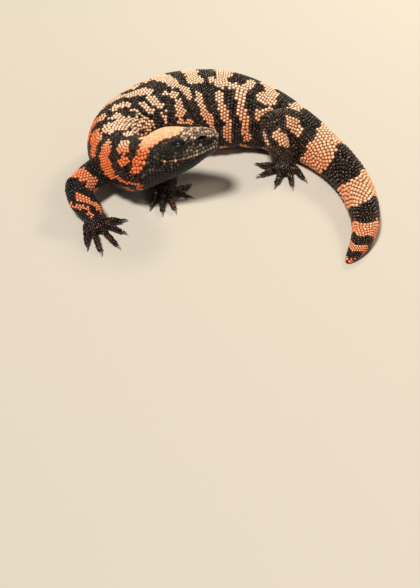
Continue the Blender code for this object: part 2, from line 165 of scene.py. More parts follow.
# Pale blotches of the back and sides as seen from above and from the left: distance and turn of both ends of a
# bar, and its half width in mm.
BACK_BARS = (
    (175, -40, 177, -24, 2.8), (187, -36, 190, -12, 7.2), (189, -8, 195, 6, 5.2), (195, 6, 203, 20, 3.8),
    (203, 18, 205, 33, 3.4), (215, -38, 215, -18, 7.0), (214, -14, 215, -4, 6.0), (211, 4, 219, 5, 5.2),
    (180, 16, 182, 18, 2.6), (188, 22, 188, 24, 4.4),
    (244, -40, 244, -12, 8.0), (243, -8, 242, 2, 5.0), (232, 4, 241, 14, 4.2), (244, 12, 258, 13, 4.6),
    (270, -8, 269, 8, 4.2), (267, 8, 263, 20, 4.4), (264, 26, 265, 33, 6.2),
    (282, -42, 284, -22, 7.2), (286, -18, 289, -6, 5.2), (291, -4, 293, 8, 6.2), (287, 16, 295, 15, 6.4),
    (285, 24, 286, 25, 3.0), (297, 35, 291, 48, 2.8), (290, 48, 287, 58, 3.0),
    (317, -40, 316, 14, 5.8), (134, -16, 144, 2, 3.6), (155, -15, 168, 1, 4.6),
    (122, -15, 126, -3, 2.6), (140, 14, 141, 36, 2.6), (152, 15, 156, 33, 3.4), (165, 14, 168, 31, 4.6),
    (143, 46, 148, 54, 4.0), (166, 44, 169, 56, 2.2), (172, 44, 168, 58, 2.0),
    (190, 39, 190, 50, 5.5), (186, 52, 188, 58, 3.2), (184, 65, 200, 67, 2.8),
    (140, -42, 150, -26, 4.0), (161, -48, 166, -28, 4.6),
)
# The bars of the left flank, which the right flank repeats further back.
FLANK_BARS = (
    (215, 31, 217, 50, 4.6), (219, 54, 227, 66, 5.0), (227, 68, 231, 84, 4.2),
    (240, 31, 242, 50, 5.0), (245, 55, 251, 70, 5.2), (252, 72, 253, 98, 5.6),
    (267, 50, 271, 56, 6.0), (274, 60, 277, 96, 4.6),
)
FLANK_SHIFT = 12
FLANK_REPEATS = (0, -78)
# The shoulder and neck, right side where the turn is negative.
NECK_BARS = (
    (109, -24, 112, -4, 6.0), (112, -2, 124, 22, 7.2), (124, 22, 141, 48, 5.2),
    (92, -2, 108, 26, 3.6), (108, 26, 133, 52, 3.2), (104, 42, 124, 62, 3.6),
    (124, -58, 125, -30, 3.8), (117, -80, 123, -60, 3.2), (108, -64, 109, -52, 6.2), (108, -50, 107, -43, 3.0),
    (103, -84, 107, -66, 3.6), (97, -128, 98, -102, 4.0), (84, -104, 92, -78, 4.8), (92, -76, 95, -56, 4.0),
    (95, -56, 96, -42, 2.6), (77, -74, 77, -72, 4.0), (80, -50, 83, -30, 5.0),
    (67, -124, 80, -104, 2.2), (65, -160, 66, -126, 2.0), (72, -148, 73, -134, 2.0),
    (134, -96, 138, -62, 4.4), (120, -130, 122, -100, 3.8),
)
# The crown's pale band and its branch behind the jaw, both sides alike.
HEAD_BARS = ((41.5, 25, 59, 37, 10.5), (41, 0, 64, 0, 11.5), (60, 46, 63, 60, 6.0), (63, 62, 67, 86, 4.4))
# Bands round the tail, from where each begins to where it ends.
TAIL_BANDS = ((349.5, 381), (416.8, 451.2), (474, 487.5), (495.6, 500.6), (506.4, 512))
TAIL_BOW = ((336, 8), (349, 10.5), (381, 14), (416, 14), (450, 15), (472, 10.5), (487, 9), (497, 6), (502, 4.5), (508, 1.5))
# The turn at which a band reaches furthest back.
TAIL_BOW_TURN = ((336, 38), (349, 41), (381, 48), (416, 30), (451, 27), (476, 5), (508, 0))
TAIL_START = 336
# Patches on the hip, the hind leg and the right forearm, as bars in space with their radii.
LIMB_PATCHES = (
    ((96, -43, 46), (100, -43, 40), 7.0), ((92, -42, 50), (95, -42, 48), 3.2), ((82, -53, 40), (90, -51, 31), 5.6),
    ((61, -31, 43), (66, -27, 49), 3.0), ((66, -27, 49), (76, -25, 51.5), 2.4), ((69, -49, 38), (72, -53, 30), 2.4),
    ((-99, -127, 26), (-90, -130.5, 24), 2.9), ((-90, -130.5, 24), (-81, -133.5, 19.5), 2.6),
    ((-81, -133.5, 19.5), (-77.5, -134.5, 14), 2.6), ((-104.5, -128, 16.5), (-95.5, -135.5, 19), 1.9),
    ((-94, -135.5, 19.7), (-89, -137.5, 19.5), 1.5), ((-89, -139.5, 17.5), (-85.5, -141, 14.5), 1.7),
)
# The stretch of each limb that is banded, as a share of its upper length, and the odds of a pale bead lower down.
LIMB_BANDS = {
    "front_right": (0.68, 0.87, 0.0), "front_left": (0.1, 0.5, 0.0), "hind_left": (9, 9, 0.0),
    "hind_right": (0.2, 0.55, 0.2),
}


class HideSettings(bpy.types.PropertyGroup):
    voxel: FloatProperty(
        name="Hide Mesh Size", description="Edge length of the hide's mesh before the head is refined",
        default=1.4 * MM, min=0.8 * MM, max=4 * MM, unit="LENGTH",
    )
    smoothing: IntProperty(
        name="Smoothing", description="Rounds of smoothing over the joins of limb and body", default=3, min=0,
    )
    fold_height: FloatProperty(
        name="Fold Height", description="Height of the skin folds on the inner side of the neck",
        default=2.2 * MM, unit="LENGTH",
    )
    bead_sides: IntProperty(
        name="Bead Sides", description="Points round one bead of the body", default=10, min=6, max=16,
    )
    bead_fill: FloatProperty(
        name="Bead Fill", description="Share of its cell that a bead fills", default=1.02, min=0.6, max=1.1,
    )


class ColourSettings(bpy.types.PropertyGroup):
    # The crest and foot colours paint each bead: the dark crest's brown is partly the horn's own brown from wear and
    # partly painted highlight, and the pale edge is partly the hide's own red-brown and partly painted shade at each
    # bead's foot and in the gaps between beads. Cream on the back and orange low down are partly painted light and
    # shade too.
    dark: StringProperty(name="Dark Bead", description="Crest of a dark bead", default="#412E1C")
    dark_edge: StringProperty(name="Dark Edge", description="Foot of a dark bead", default="#040303")
    cream: StringProperty(name="Cream Bead", description="Crest of a pale bead on the back", default="#FCE0BE")
    salmon: StringProperty(name="Salmon Bead", description="Crest of a pale bead on the side", default="#FBC091")
    orange: StringProperty(name="Orange Bead", description="Crest of a pale bead low down", default="#F57A3E")
    pale_edge: StringProperty(name="Pale Edge", description="Foot of a pale bead", default="#6B2410")
    iris: StringProperty(name="Iris", description="Colour of the iris", default="#0D0805")
    horn_tip: StringProperty(name="Claw Tip", description="Horn at a claw's tip", default="#EFE2C6")
    horn_base: StringProperty(name="Claw Base", description="Horn at a claw's base", default="#15100D")


class StageSettings(bpy.types.PropertyGroup):
    floor_colour: StringProperty(name="Floor", description="Paint of the floor", default="#C3BCB0")
    floor_size: FloatProperty(name="Floor Size", description="Side of the floor", default=60, unit="LENGTH")
    camera_place: FloatVectorProperty(
        name="Camera Place", description="Where the camera stands", default=(0.018844, -0.838671, 0.578639),
        subtype="TRANSLATION", precision=4,
    )
    camera_pitch: FloatProperty(
        name="Camera Pitch", description="How far the camera looks down", default=math.radians(43.369),
        unit="ROTATION",
    )
    lens: FloatProperty(name="Lens", description="Focal length in mm on a 36 mm frame", default=62)
    key_strength: FloatProperty(name="Key Strength", description="Strength of the main light", default=4.0)
    key_angle: FloatProperty(
        name="Key Angle", description="How wide the main light is, which softens its shadows",
        default=math.radians(12), unit="ROTATION",
    )
    fill_power: FloatProperty(name="Fill Power", description="Power of the front fill", default=1.7, unit="POWER")
    rim_power: FloatProperty(name="Rim Power", description="Power of the light from behind", default=8, unit="POWER")
    sky: FloatProperty(name="Sky", description="Strength of the even light all round", default=0.11)


def along(table, at):
    """A smooth curve through a table's points that never overshoots them: a cubic between each two points, its
    slope at a point the harmonic mean of the rises on either side, or level where they differ in sign."""
    x, y = np.array(table, float).T
    step = np.diff(x)
    rise = np.diff(y) / step
    slope = np.concatenate([[rise[0]], np.zeros(len(x) - 2), [rise[-1]]])
    same = rise[:-1] * rise[1:] > 0
    before, after = 2 * step[1:] + step[:-1], step[1:] + 2 * step[:-1]
    with np.errstate(divide="ignore", invalid="ignore"):
        mean = (before + after) / (before / rise[:-1] + after / rise[1:])
    slope[1:-1] = np.where(same, mean, 0)
    at = np.clip(np.asarray(at, float), x[0], x[-1])
    i = np.clip(np.searchsorted(x, at, side="right") - 1, 0, len(step) - 1)
    t = (at - x[i]) / step[i]
    return (
        y[i] * (1 + 2 * t) * (1 - t) ** 2
        + step[i] * slope[i] * t * (1 - t) ** 2
        + y[i + 1] * t**2 * (3 - 2 * t)
        + step[i] * slope[i + 1] * t**2 * (t - 1)
    )


def ease(low, high, value):
    """0 up to low, 1 from high, and a smooth S between them."""
    t = np.clip((np.asarray(value, float) - low) / (high - low), 0, 1)
    return t * t * (3 - 2 * t)


def bell(value, spread):
    """1 at 0, falling off on both sides like exp of minus the square of value over spread."""
    return np.exp(-((value / spread) ** 2))


def scatter(points, salt):
    """A number from 0 to 1 for each point, from the last digits of a large multiple of a sine of its place."""
    mixed = points @ np.array([12.9898, 78.233, 37.719]) + salt * 4.1414
    return np.mod(np.sin(mixed) * 43758.5453, 1)


def ripple(points, length):
    """Smooth noise from -1 to 1: the mean of five sine waves of about that length in mm, each its own way."""
    ways = np.array([[1, 0.3, 0.2], [-0.4, 1, 0.3], [0.2, -0.5, 1], [0.8, 0.7, -0.6], [-0.7, 0.5, 0.8]])
    phases = points @ ways.T * (2 * math.pi / length) * np.array([1, 1.13, 0.91, 1.31, 1.57])
    return np.sin(phases + np.array([0.3, 1.9, 4.1, 2.6, 5.2])).mean(1) * 1.6


def spine_plan():
    """Distance, x, y, heading and bend radius along the spine, its heading's direction summed in small steps."""
    distance = np.arange(0, TOTAL_LENGTH + 0.5, 0.5)
    heading = np.radians(along(SPINE_HEADING, distance))
    middle = (heading[1:] + heading[:-1]) / 2
    steps = np.diff(distance)
    x = np.concatenate([[0], np.cumsum(np.cos(middle) * steps)])
    y = np.concatenate([[0], np.cumsum(np.sin(middle) * steps)])
    x -= np.interp(MID_TRUNK, distance, x)
    y -= np.interp(MID_TRUNK, distance, y)
    return distance, x, y, heading, -1 / np.minimum(np.gradient(heading, distance), -1e-4)


SPINE = spine_plan()


def spine_at(distance):
    """x, y, heading and bend radius of the spine at a distance."""
    return [np.interp(distance, SPINE[0], column) for column in SPINE[1:]]


def half_width(distance, inner):
    """The table's half width, held on the inner side to less than the bend's radius by a fourth-power mean."""
    width = along(HALF_WIDTH, distance)
    room = BEND_SHARE * spine_at(distance)[3]
    return np.where(inner, width / (1 + (width / room) ** 4) ** 0.25, width)


def half_height(distance, upper):
    """The section's height above its widest level or below it."""
    return along(HEIGHT, distance) * np.where(upper, 1 - WIDEST_SHARE, WIDEST_SHARE)


def bow(distance, upper):
    """The power that sine and cosine are raised to round the section, 2 over the superellipse's own power."""
    return 2 / np.where(upper, along(CROWN_POWER, distance), along(BELLY_POWER, distance))


def widest_level(distance):
    return along(BELLY_LEVEL, distance) + along(HEIGHT, distance) * WIDEST_SHARE


def girth_step(distance):
    """Millimetres round the section for one degree of turn, by the mean of half width and half height."""
    return math.radians(1) * (along(HALF_WIDTH, distance) + along(HEIGHT, distance) / 2) / 2 * 1.06


def head_relief(distance, turn):
    """The sum of the head's bumps and hollows, each a bell along the head times a bell round it."""
    total = np.zeros(np.shape(distance))
    for place, round_place, height, spread, round_spread in HEAD_RELIEF:
        total = total + height * bell(distance - place, spread) * bell(abs(turn) - round_place, round_spread)
    return total


def section_place(distance, across, rise):
    """Points of the section at a distance, across to the left and rise over its widest level, after its roll."""
    x, y, heading, _ = spine_at(distance)
    roll = np.radians(along(ROLL, distance))
    left = across * np.cos(roll) + rise * np.sin(roll)
    up = rise * np.cos(roll) - across * np.sin(roll)
    return np.stack([x + np.sin(heading) * left, y - np.cos(heading) * left, widest_level(distance) + up], -1)


def body_surface(distance, turn, grow=0.0, floor=0.0):
    """Points of the body: a superellipse across the spine with its own powers above and below, bumps added to
    its half sizes, rolled and set along the spine, and nothing under the floor level given."""
    distance, turn = np.broadcast_arrays(np.asarray(distance, float), np.asarray(turn, float))
    sine, cosine = np.sin(np.radians(turn)), np.cos(np.radians(turn))
    upper = cosine >= 0
    power = bow(distance, upper)
    relief = head_relief(distance, turn) + grow
    across = np.sign(sine) * abs(sine) ** power * (half_width(distance, turn > 0) + relief)
    rise = np.sign(cosine) * abs(cosine) ** power * (half_height(distance, upper) + relief)
    points = section_place(distance, across, rise)
    points[..., 2] = np.maximum(points[..., 2], floor)
    return points


def unroll(points, distance):
    """The distance and turn of points near the body: from a first distance, steps along the spine until the
    section there holds the point, and then the superellipse's angle of its place in the section."""
    for _ in range(6):
        x, y, heading, bend = spine_at(distance)
        east, north = points[:, 0] - x, points[:, 1] - y
        ahead = east * np.cos(heading) + north * np.sin(heading)
        left = east * np.sin(heading) - north * np.cos(heading)
        distance = np.clip(distance + ahead / np.maximum(1 - left / bend, 0.25), 0, TOTAL_LENGTH)
    roll = np.radians(along(ROLL, distance))
    up = points[:, 2] - widest_level(distance)
    across, rise = left * np.cos(roll) - up * np.sin(roll), left * np.sin(roll) + up * np.cos(roll)
    upper = rise >= 0
    power = 1 / bow(distance, upper)
    wide = (abs(across) / half_width(distance, across > 0)) ** power
    tall = (abs(rise) / half_height(distance, upper)) ** power
    turn = np.degrees(np.arctan2(np.sign(across) * wide, np.where(upper, tall, -tall)))
    return distance, turn, rise


def surface_frame(distance, turn):
    """A point of the solids' surface with its outward normal and the tailward direction there."""
    here = body_surface(distance, turn)
    tailward = body_surface(distance + 1, turn) - body_surface(distance - 1, turn)
    tailward /= np.linalg.norm(tailward)
    around = body_surface(distance, turn + 2) - body_surface(distance, turn - 2)
    normal = np.cross(tailward, around)
    normal /= np.linalg.norm(normal)
    if normal @ (here - section_place(distance, 0.0, 0.0)) < 0:
        normal = -normal
    return here, normal, tailward


def smooth_path(rows, steps):
    """A Catmull-Rom curve through rows of numbers, each stretch in equal steps."""
    rows = np.array(rows, float)
    ends = np.vstack([2 * rows[0] - rows[1], rows, 2 * rows[-1] - rows[-2]])
    t = (np.arange(steps) / steps)[:, None]
    found = []
    for before, start, end, after in zip(ends[:-3], ends[1:-2], ends[2:-1], ends[3:]):
        bend = before * 2 - start * 5 + end * 4 - after
        twist = start * 3 - before - end * 3 + after
        found.append((start * 2 + (end - before) * t + bend * t**2 + twist * t**3) / 2)
    return np.vstack([*found, rows[-1:]])


def domed(path, sizes, reach, angles=(15, 30, 45, 60, 75)):
    """The path with a round end: each step goes forward by the sine and shrinks the sizes by the cosine."""
    way = path[-1] - path[-2]
    way /= np.linalg.norm(way)
    turned = np.radians(np.array(angles, float))[:, None]
    return (
        np.vstack([path, path[-1] + way * reach * np.sin(turned)]),
        np.vstack([sizes, sizes[-1] * np.cos(turned)]),
    )


def domed_both_ways(path, sizes):
    """The path with a round start and a round end, each reaching as far as its own size."""
    path, sizes = domed(path, sizes, sizes[-1, 0])
    back_path, back_sizes = domed(path[::-1], sizes[::-1], sizes[0, 0])
    return back_path[::-1], back_sizes[::-1]


def toe_line(limb, number):
    """Where a toe leaves the palm, where it ends, and its direction: the toes start side by side across the
    palm's middle, each at its own offset to the foot's left."""
    wrist = np.array([*limb["lower"][-1][0][:2], 0.0])
    palm = np.array([*limb["palm"], 0.0])
    forward = (palm - wrist) / np.linalg.norm(palm - wrist)
    heading, reach = limb["toes"][number]
    way = np.array([math.cos(math.radians(heading)), math.sin(math.radians(heading)), 0])
    start = palm + np.array([-forward[1], forward[0], 0]) * TOE_OFFSETS[number]
    end = palm + way * reach
    return start, end, (end - start) / np.linalg.norm(end - start)


def tube(path, sizes, turns):
    """A grid of points: at each place of the path an ellipse, sizes[:, 0] wide on the level, sizes[:, 1] tall."""
    tangent = np.gradient(path, axis=0)
    tangent /= np.linalg.norm(tangent, axis=1, keepdims=True)
    level = np.cross(tangent, [0, 0, 1])
    steep = np.linalg.norm(level, axis=1) < 0.35
    for k in np.flatnonzero(steep):
        if k:
            level[k] = level[k - 1] - tangent[k] * (level[k - 1] @ tangent[k])
    level /= np.linalg.norm(level, axis=1, keepdims=True)
    upright = np.cross(level, tangent)
    angle = np.radians(turns)[None, :, None]
    sideways = level[:, None] * sizes[:, None, :1] * np.sin(angle)
    upwards = upright[:, None] * sizes[:, None, 1:2] * np.cos(angle)
    return path[:, None] + sideways + upwards


def limb_tubes(limb, coat_share=1.0):
    """The tubes of one limb, each a path and its sizes with a name and how the coat is set on it."""
    tubes = []
    for part in ("upper", "lower"):
        rows = smooth_path([(*place, radius) for place, radius in limb[part]], 12)
        sizes = rows[:, 3:] - LIMB_COAT * coat_share
        path, sizes = domed_both_ways(rows[:, :3], sizes)
        tubes.append({"part": part, "path": path, "sizes": np.repeat(sizes, 2, 1), "depth": LIMB_COAT})
    wrist = np.array([*limb["lower"][-1][0][:2], 0.0])
    palm = np.array([*limb["palm"], 0.0])
    forward = (palm - wrist) / np.linalg.norm(palm - wrist)
    rows = smooth_path(PALM_STATIONS, 8)
    path = palm + forward * rows[:, :1] + [0, 0, 1] * rows[:, 3:]
    path, sizes = domed(path, rows[:, 1:3] - PALM_COAT * coat_share, 2.0)
    tubes.append({"part": "palm", "path": path, "sizes": sizes, "depth": PALM_COAT})
    for number in range(len(limb["toes"])):
        start, end, _ = toe_line(limb, number)
        rows = smooth_path(TOE_STATIONS, 10)
        path = start + (end - start) * rows[:, :1] + [0, 0, 1] * rows[:, 1:2]
        knuckles = 0.2 * np.cos(rows[:, :1] * 2 * math.pi * 4)
        sizes = rows[:, 2:] - TOE_COAT * coat_share + knuckles
        path, sizes = domed(path, sizes, 1.0)
        tubes.append({"part": f"toe_{number}", "path": path, "sizes": np.repeat(sizes, 2, 1), "depth": TOE_COAT})
    return tubes


def shell_faces(rings, sides):
    """Faces of a grid closed round each ring: four-sided between rings, fans at both ends to one point each."""
    k, i = np.meshgrid(np.arange(rings - 1), np.arange(sides), indexing="ij")
    j = (i + 1) % sides
    quads = np.stack([k * sides + i, k * sides + j, (k + 1) * sides + j, (k + 1) * sides + i], -1).reshape(-1, 4)
    i = np.arange(sides)
    j = (i + 1) % sides
    last = (rings - 1) * sides
    first_fan = np.stack([np.full(sides, rings * sides), j, i], -1)
    last_fan = np.stack([np.full(sides, rings * sides + 1), last + i, last + j], -1)
    return quads, np.vstack([first_fan, last_fan])


def closed_shell(grid):
    """Points and faces of a closed shell over a grid of rings, turned to face outwards by its volume's sign."""
    rings, sides = grid.shape[:2]
    points = np.vstack([grid.reshape(-1, 3), grid[0].mean(0), grid[-1].mean(0)])
    quads, fans = shell_faces(rings, sides)
    if signed_volume(points, quads, fans) < 0:
        quads, fans = quads[:, ::-1], fans[:, ::-1]
    return points, quads, fans


def signed_volume(points, quads, triangles):
    """Six times the volume that the faces close, positive where they face outwards."""
    triangles = np.vstack([quads[:, [0, 1, 2]], quads[:, [0, 2, 3]], triangles])
    a, b, c = (points[triangles[:, k]] for k in range(3))
    return float((a * np.cross(b, c)).sum())


def join_shells(shells):
    """One list of points and of faces from several closed shells."""
    points, quads, fans, start = [], [], [], 0
    for shell_points, shell_quads, shell_fans in shells:
        points.append(shell_points)
        quads.append(shell_quads + start)
        fans.append(shell_fans + start)
        start += len(shell_points)
    return np.vstack(points), np.vstack(quads), np.vstack(fans)


def new_mesh(name, points, faces):
    """A smooth-shaded mesh from points in mm and arrays of faces, one array for each count of corners."""
    mesh = bpy.data.meshes.new(name)
    sizes = np.concatenate([np.full(len(block), block.shape[1]) for block in faces])
    corners = np.concatenate([block.ravel() for block in faces])
    mesh.vertices.add(len(points))
    mesh.vertices.foreach_set("co", (np.asarray(points) * MM).astype(np.float32).ravel())
    mesh.loops.add(len(corners))
    mesh.loops.foreach_set("vertex_index", corners.astype(np.int32))
    mesh.polygons.add(len(sizes))
    mesh.polygons.foreach_set("loop_start", (np.cumsum(sizes) - sizes).astype(np.int32))
    mesh.update(calc_edges=True)
    mesh.shade_smooth()
    return mesh


def new_piece(name, mesh, material, replaced=()):
    """An object at the origin that rides on the animal's one body and stands for the nodes given."""
    piece = bpy.data.objects.new(name, mesh)
    bpy.context.scene.collection.objects.link(piece)
    mesh.materials.clear()
    mesh.materials.append(material)
    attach(piece, "root")
    if replaced:
        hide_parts(*replaced)
    return piece


def mesh_points(mesh):
    points = np.empty(len(mesh.vertices) * 3, np.float32)
    mesh.vertices.foreach_get("co", points)
    return points.reshape(-1, 3).astype(float) / MM


def mesh_normals(mesh):
    normals = np.empty(len(mesh.vertices) * 3, np.float32)
    mesh.vertex_normals.foreach_get("vector", normals)
    return normals.reshape(-1, 3).astype(float)


def set_points(mesh, points):
    mesh.vertices.foreach_set("co", (points * MM).astype(np.float32).ravel())
    mesh.update()


def set_numbers(mesh, name, values):
    """A number at each vertex, which the materials read by name."""
    layer = mesh.attributes.new(name, "FLOAT", "POINT")
    layer.data.foreach_set("value", np.asarray(values, np.float32))


def get_numbers(mesh, name):
    values = np.empty(len(mesh.vertices), np.float32)
    mesh.attributes[name].data.foreach_get("value", values)
    return values.astype(float)


def close_pairs(points, others, reach):
    """Every point's neighbours among the others within reach: both are sorted into cubes of that size, and each
    point is compared with what its own cube and the 26 round it hold. Gives two arrays of indices."""
    low = np.minimum(points.min(0), others.min(0)) - 2 * reach
    span = 4096
    place = np.floor((points - low) / reach).astype(np.int64)
    other_place = np.floor((others - low) / reach).astype(np.int64)
    keys = (other_place[:, 0] * span + other_place[:, 1]) * span + other_place[:, 2]
    order = np.argsort(keys, kind="stable")
    keys = keys[order]
    found_points, found_others = [], []
    for step in np.ndindex(3, 3, 3):
        cell = place + np.array(step) - 1
        wanted = (cell[:, 0] * span + cell[:, 1]) * span + cell[:, 2]
        first = np.searchsorted(keys, wanted, "left")
        count = np.searchsorted(keys, wanted, "right") - first
        i = np.repeat(np.arange(len(points)), count)
        j = order[np.arange(count.sum()) + np.repeat(first - (np.cumsum(count) - count), count)]
        near = ((points[i] - others[j]) ** 2).sum(1) < reach**2
        found_points.append(i[near])
        found_others.append(j[near])
    return np.concatenate(found_points), np.concatenate(found_others)


def nearest(points, others, reach):
    """The index of each point's nearest other and how far it is, with -1 where none is within reach."""
    i, j = close_pairs(points, others, reach)
    gap = np.linalg.norm(points[i] - others[j], axis=1)
    order = np.lexsort((gap, i))
    i, j, gap = i[order], j[order], gap[order]
    first = np.flatnonzero(np.concatenate([[True], i[1:] != i[:-1]]))
    index, distance = np.full(len(points), -1), np.full(len(points), np.inf)
    index[i[first]], distance[i[first]] = j[first], gap[first]
    return index, distance


def mouth_rise(distance):
    """The mouth line's height over the section's widest level."""
    return along(HEIGHT, distance) * (along(MOUTH_LINE, distance) - WIDEST_SHARE)


def eye_offsets(distance, turn):
    """Millimetres from the eye's middle: along the head, and round it towards the jaw."""
    return distance - EYE_PLACE[0], (abs(turn) - EYE_PLACE[1]) * girth_step(EYE_PLACE[0])


def nostril_offsets(distance, turn):
    """Millimetres from the nostril's middle, along its slit, which slopes down to the back, and across it."""
    along_head = distance - NOSTRIL_PLACE[0]
    across = (abs(turn) - NOSTRIL_PLACE[1]) * girth_step(NOSTRIL_PLACE[0])
    return along_head * 0.96 + across * 0.28, across * 0.96 - along_head * 0.28


def ear_offsets(distance, turn):
    return distance - EAR_PLACE[0], (abs(turn) - EAR_PLACE[1]) * girth_step(EAR_PLACE[0])


def neck_ridge(distance, turn):
    """The neck's folds across their lie: a half sine wave's round tops, 0.38 high, and its sharp valleys, 0.62
    deep, 7.6 mm apart and slanting back towards the throat."""
    slanted = distance - 0.42 * turn - 0.2 * np.minimum(turn + 20, 0)
    wander = 1.6 * np.sin(np.radians(turn) * 2.3 + distance / 17)
    return abs(np.sin(math.pi * (slanted + wander) / 7.6)) - 0.62


def fold_relief(distance, turn, fold_height):
    """Skin folds: round-topped ridges with sharp valleys across the inner side of the neck, a valley across the
    throat, and low upright folds on the flanks."""
    ridge = neck_ridge(distance, turn)
    stretch = ease(74, 84, distance) * (1 - ease(140, 162, distance))
    folds = fold_height * ridge * stretch * ease(-4, 36, turn) * (1 - ease(128, 150, turn))
    nape = 0.45 * fold_height * ridge * stretch * bell(turn + 26, 30)
    throat = -1.2 * bell(distance - 79, 2.4) * ease(92, 122, abs(turn))
    flank = 0.45 * np.sin(2 * math.pi * (distance + 3 * np.sin(np.radians(turn) * 3)) / 17)
    flank = flank * ease(48, 75, abs(turn)) * ease(150, 170, distance) * (1 - ease(262, 290, distance))
    return folds + nape + throat + flank


def face_relief(distance, turn, rise):
    """The mouth as a groove between two swollen lips, the eye's recess inside a raised rim with the brow over it,
    the nostril's slit in a low rim, and the ear's hollow behind a fold."""
    off = rise - mouth_rise(distance)
    mouth = -1.25 * bell(off, 0.8) + 0.5 * bell(off - 2.0, 1.3) + 0.62 * bell(off + 1.8, 1.2)
    mouth = mouth * (1 - ease(MOUTH_END - 3, MOUTH_END + 3, distance))
    corner = -0.8 * bell(distance - MOUTH_END - 1.5 - 0.25 * off, 1.3) * bell(off, 4)
    eye_along, eye_round = eye_offsets(distance, turn)
    oval = np.hypot(eye_along / (EYE_OPENING[0] + 0.9), eye_round / (EYE_OPENING[1] + 0.9))
    upper_lid = np.where(eye_round < 0, 1.25, 1.0)
    eye = -2.2 * (1 - ease(0.8, 1.1, oval)) + 1.15 * upper_lid * bell(oval - 1.3, 0.32)
    eye = eye + 0.5 * bell(eye_along, 6) * bell(eye_round + 5.6, 1.8)
    slit_along, slit_across = nostril_offsets(distance, turn)
    pit = -2.7 * bell(slit_along, 3.4) * bell(slit_across, 1.25)
    rim = 0.6 * bell(np.hypot(slit_along / 5.0, slit_across / 2.6) - 1, 0.33)
    ear_along, ear_round = ear_offsets(distance, turn)
    ear = -1.1 * bell(ear_along, 2.1) * bell(ear_round, 3.3) + 0.6 * bell(ear_along + 3.6, 1.5) * bell(ear_round, 5)
    near_eye = bell(eye_along, 14) * bell(eye_round, 12)
    return mouth + corner + eye * np.where(near_eye > 0.01, 1, 0) + pit + rim + ear


def bar_gap(distance, turn, bars):
    """How far in mm each place lies outside the nearest of the bars, negative inside: the distance to a bar's
    middle line, with turns taken as millimetres round the body there, less its half width."""
    step = girth_step(distance)
    gap = np.full(distance.shape, 99.0)
    for start, start_turn, end, end_turn, reach in bars:
        run, climb = end - start, (end_turn - start_turn) * step
        off, off_round = distance - start, (turn - start_turn) * step
        share = np.clip((off * run + off_round * climb) / (run**2 + climb**2 + 1e-9), 0, 1)
        gap = np.minimum(gap, np.hypot(off - share * run, off_round - share * climb) - reach)
    return gap


def tail_bow(distance, turn):
    """How far headward the tail's rings run at a turn, from nothing where each reaches furthest back."""
    return along(TAIL_BOW, distance) * np.sin(np.radians(turn - along(TAIL_BOW_TURN, distance))) ** 2


def row_places(distance, turn):
    """Where a row of beads that is at a distance on the crown lies at each turn. On the tail it bows as the bands
    do, found in four rounds of guess and step."""
    places = np.full(np.shape(turn), float(distance))
    for _ in range(4):
        places = distance - tail_bow(places, turn) * ease(296, 345, distance)
    return places


def tail_gap(distance, turn):
    """How far outside a tail band each place lies. The bands bow headward on both sides."""
    bowed = distance + tail_bow(distance, turn)
    gap = np.full(distance.shape, 99.0)
    for start, end in TAIL_BANDS:
        gap = np.minimum(gap, abs(bowed - (start + end) / 2) - (end - start) / 2)
    return gap


def space_gap(points, bars):
    """How far outside the nearest of the bars in space each point lies."""
    gap = np.full(len(points), 99.0)
    for start, end, reach in bars:
        start, run = np.array(start, float), np.array(end, float) - start
        share = np.clip((points - start) @ run / (run @ run), 0, 1)
        gap = np.minimum(gap, np.linalg.norm(points - start - share[:, None] * run, axis=1) - reach)
    return gap


def body_gap(points, distance, turn):
    """How far outside the pale markings each place of the body lies. The right side repeats the left flank's bars
    further back, the belly has its own wavy bands, and all edges wander a little."""
    distance = distance + 0.9 * ripple(points, 11) * (1 - 0.8 * ease(450, 480, distance))
    turn = turn + 1.2 * ripple(points[:, ::-1], 13)
    gap = np.minimum(bar_gap(distance, turn, BACK_BARS), bar_gap(distance, abs(turn), HEAD_BARS))
    gap = np.minimum(gap, bar_gap(distance, turn, NECK_BARS))
    hidden_neck = np.where((turn > 58) | (distance < 84), -abs(turn), 0)
    gap = np.where(hidden_neck < 0, np.minimum(gap, bar_gap(distance, hidden_neck, NECK_BARS)), gap)
    gap = np.minimum(gap, bar_gap(distance, turn, FLANK_BARS))
    for shift in FLANK_REPEATS:
        repeated = bar_gap(distance - FLANK_SHIFT - shift, -turn, FLANK_BARS)
        gap = np.where(turn < -34, np.minimum(gap, repeated), gap)
    waves = np.sin(2 * math.pi * distance / 27 + 1.4 * np.sin(np.radians(turn) * 4))
    belly = np.where((abs(turn) > 116) & (distance > 100) & (distance < 340), 4 * (0.35 - waves), 99)
    gap = np.minimum(gap, belly)
    gap = np.where(distance > TAIL_START, np.minimum(tail_gap(distance, turn), 99), gap)
    return np.minimum(gap, space_gap(points, LIMB_PATCHES))


def limb_gap(points, name, upper_share):
    """How far outside its pale band or patches each place of a limb lies. upper_share runs from 0 at the
    shoulder or hip to 1 at the elbow or knee, and on to 2 at the wrist or ankle."""
    start, end, _ = LIMB_BANDS[name]
    share = upper_share + 0.03 * ripple(points, 9)
    band = (abs(share - (start + end) / 2) - (end - start) / 2) * 45
    return np.minimum(band, space_gap(points, LIMB_PATCHES))


def warmth_of(distance, turn):
    """0 for cream, 1 for orange: cream on the back, warmer down the sides, and warm all over the right neck. Cream on
    top and orange low down are partly the hide's own colours and partly painted light and shade: paler on top where
    light falls from above, warmer lower down the sides where shade falls.
    """
    low = ease(18, 88, abs(turn + 4)) * (1 - 0.5 * ease(335, 375, distance))
    neck = ease(60, 78, distance) * (1 - ease(128, 150, distance)) * ease(24, 60, -turn)
    shoulder = ease(100, 125, distance) * (1 - ease(165, 215, distance)) * ease(8, 48, -turn)
    crown = 0.32 * (1 - ease(66, 84, distance))
    tail = 0.34 * ease(335, 375, distance) + 0.26 * ease(440, 490, distance)
    return np.clip(0.06 + 0.66 * low + 0.5 * neck + 0.34 * shoulder + crown + tail, 0, 1)


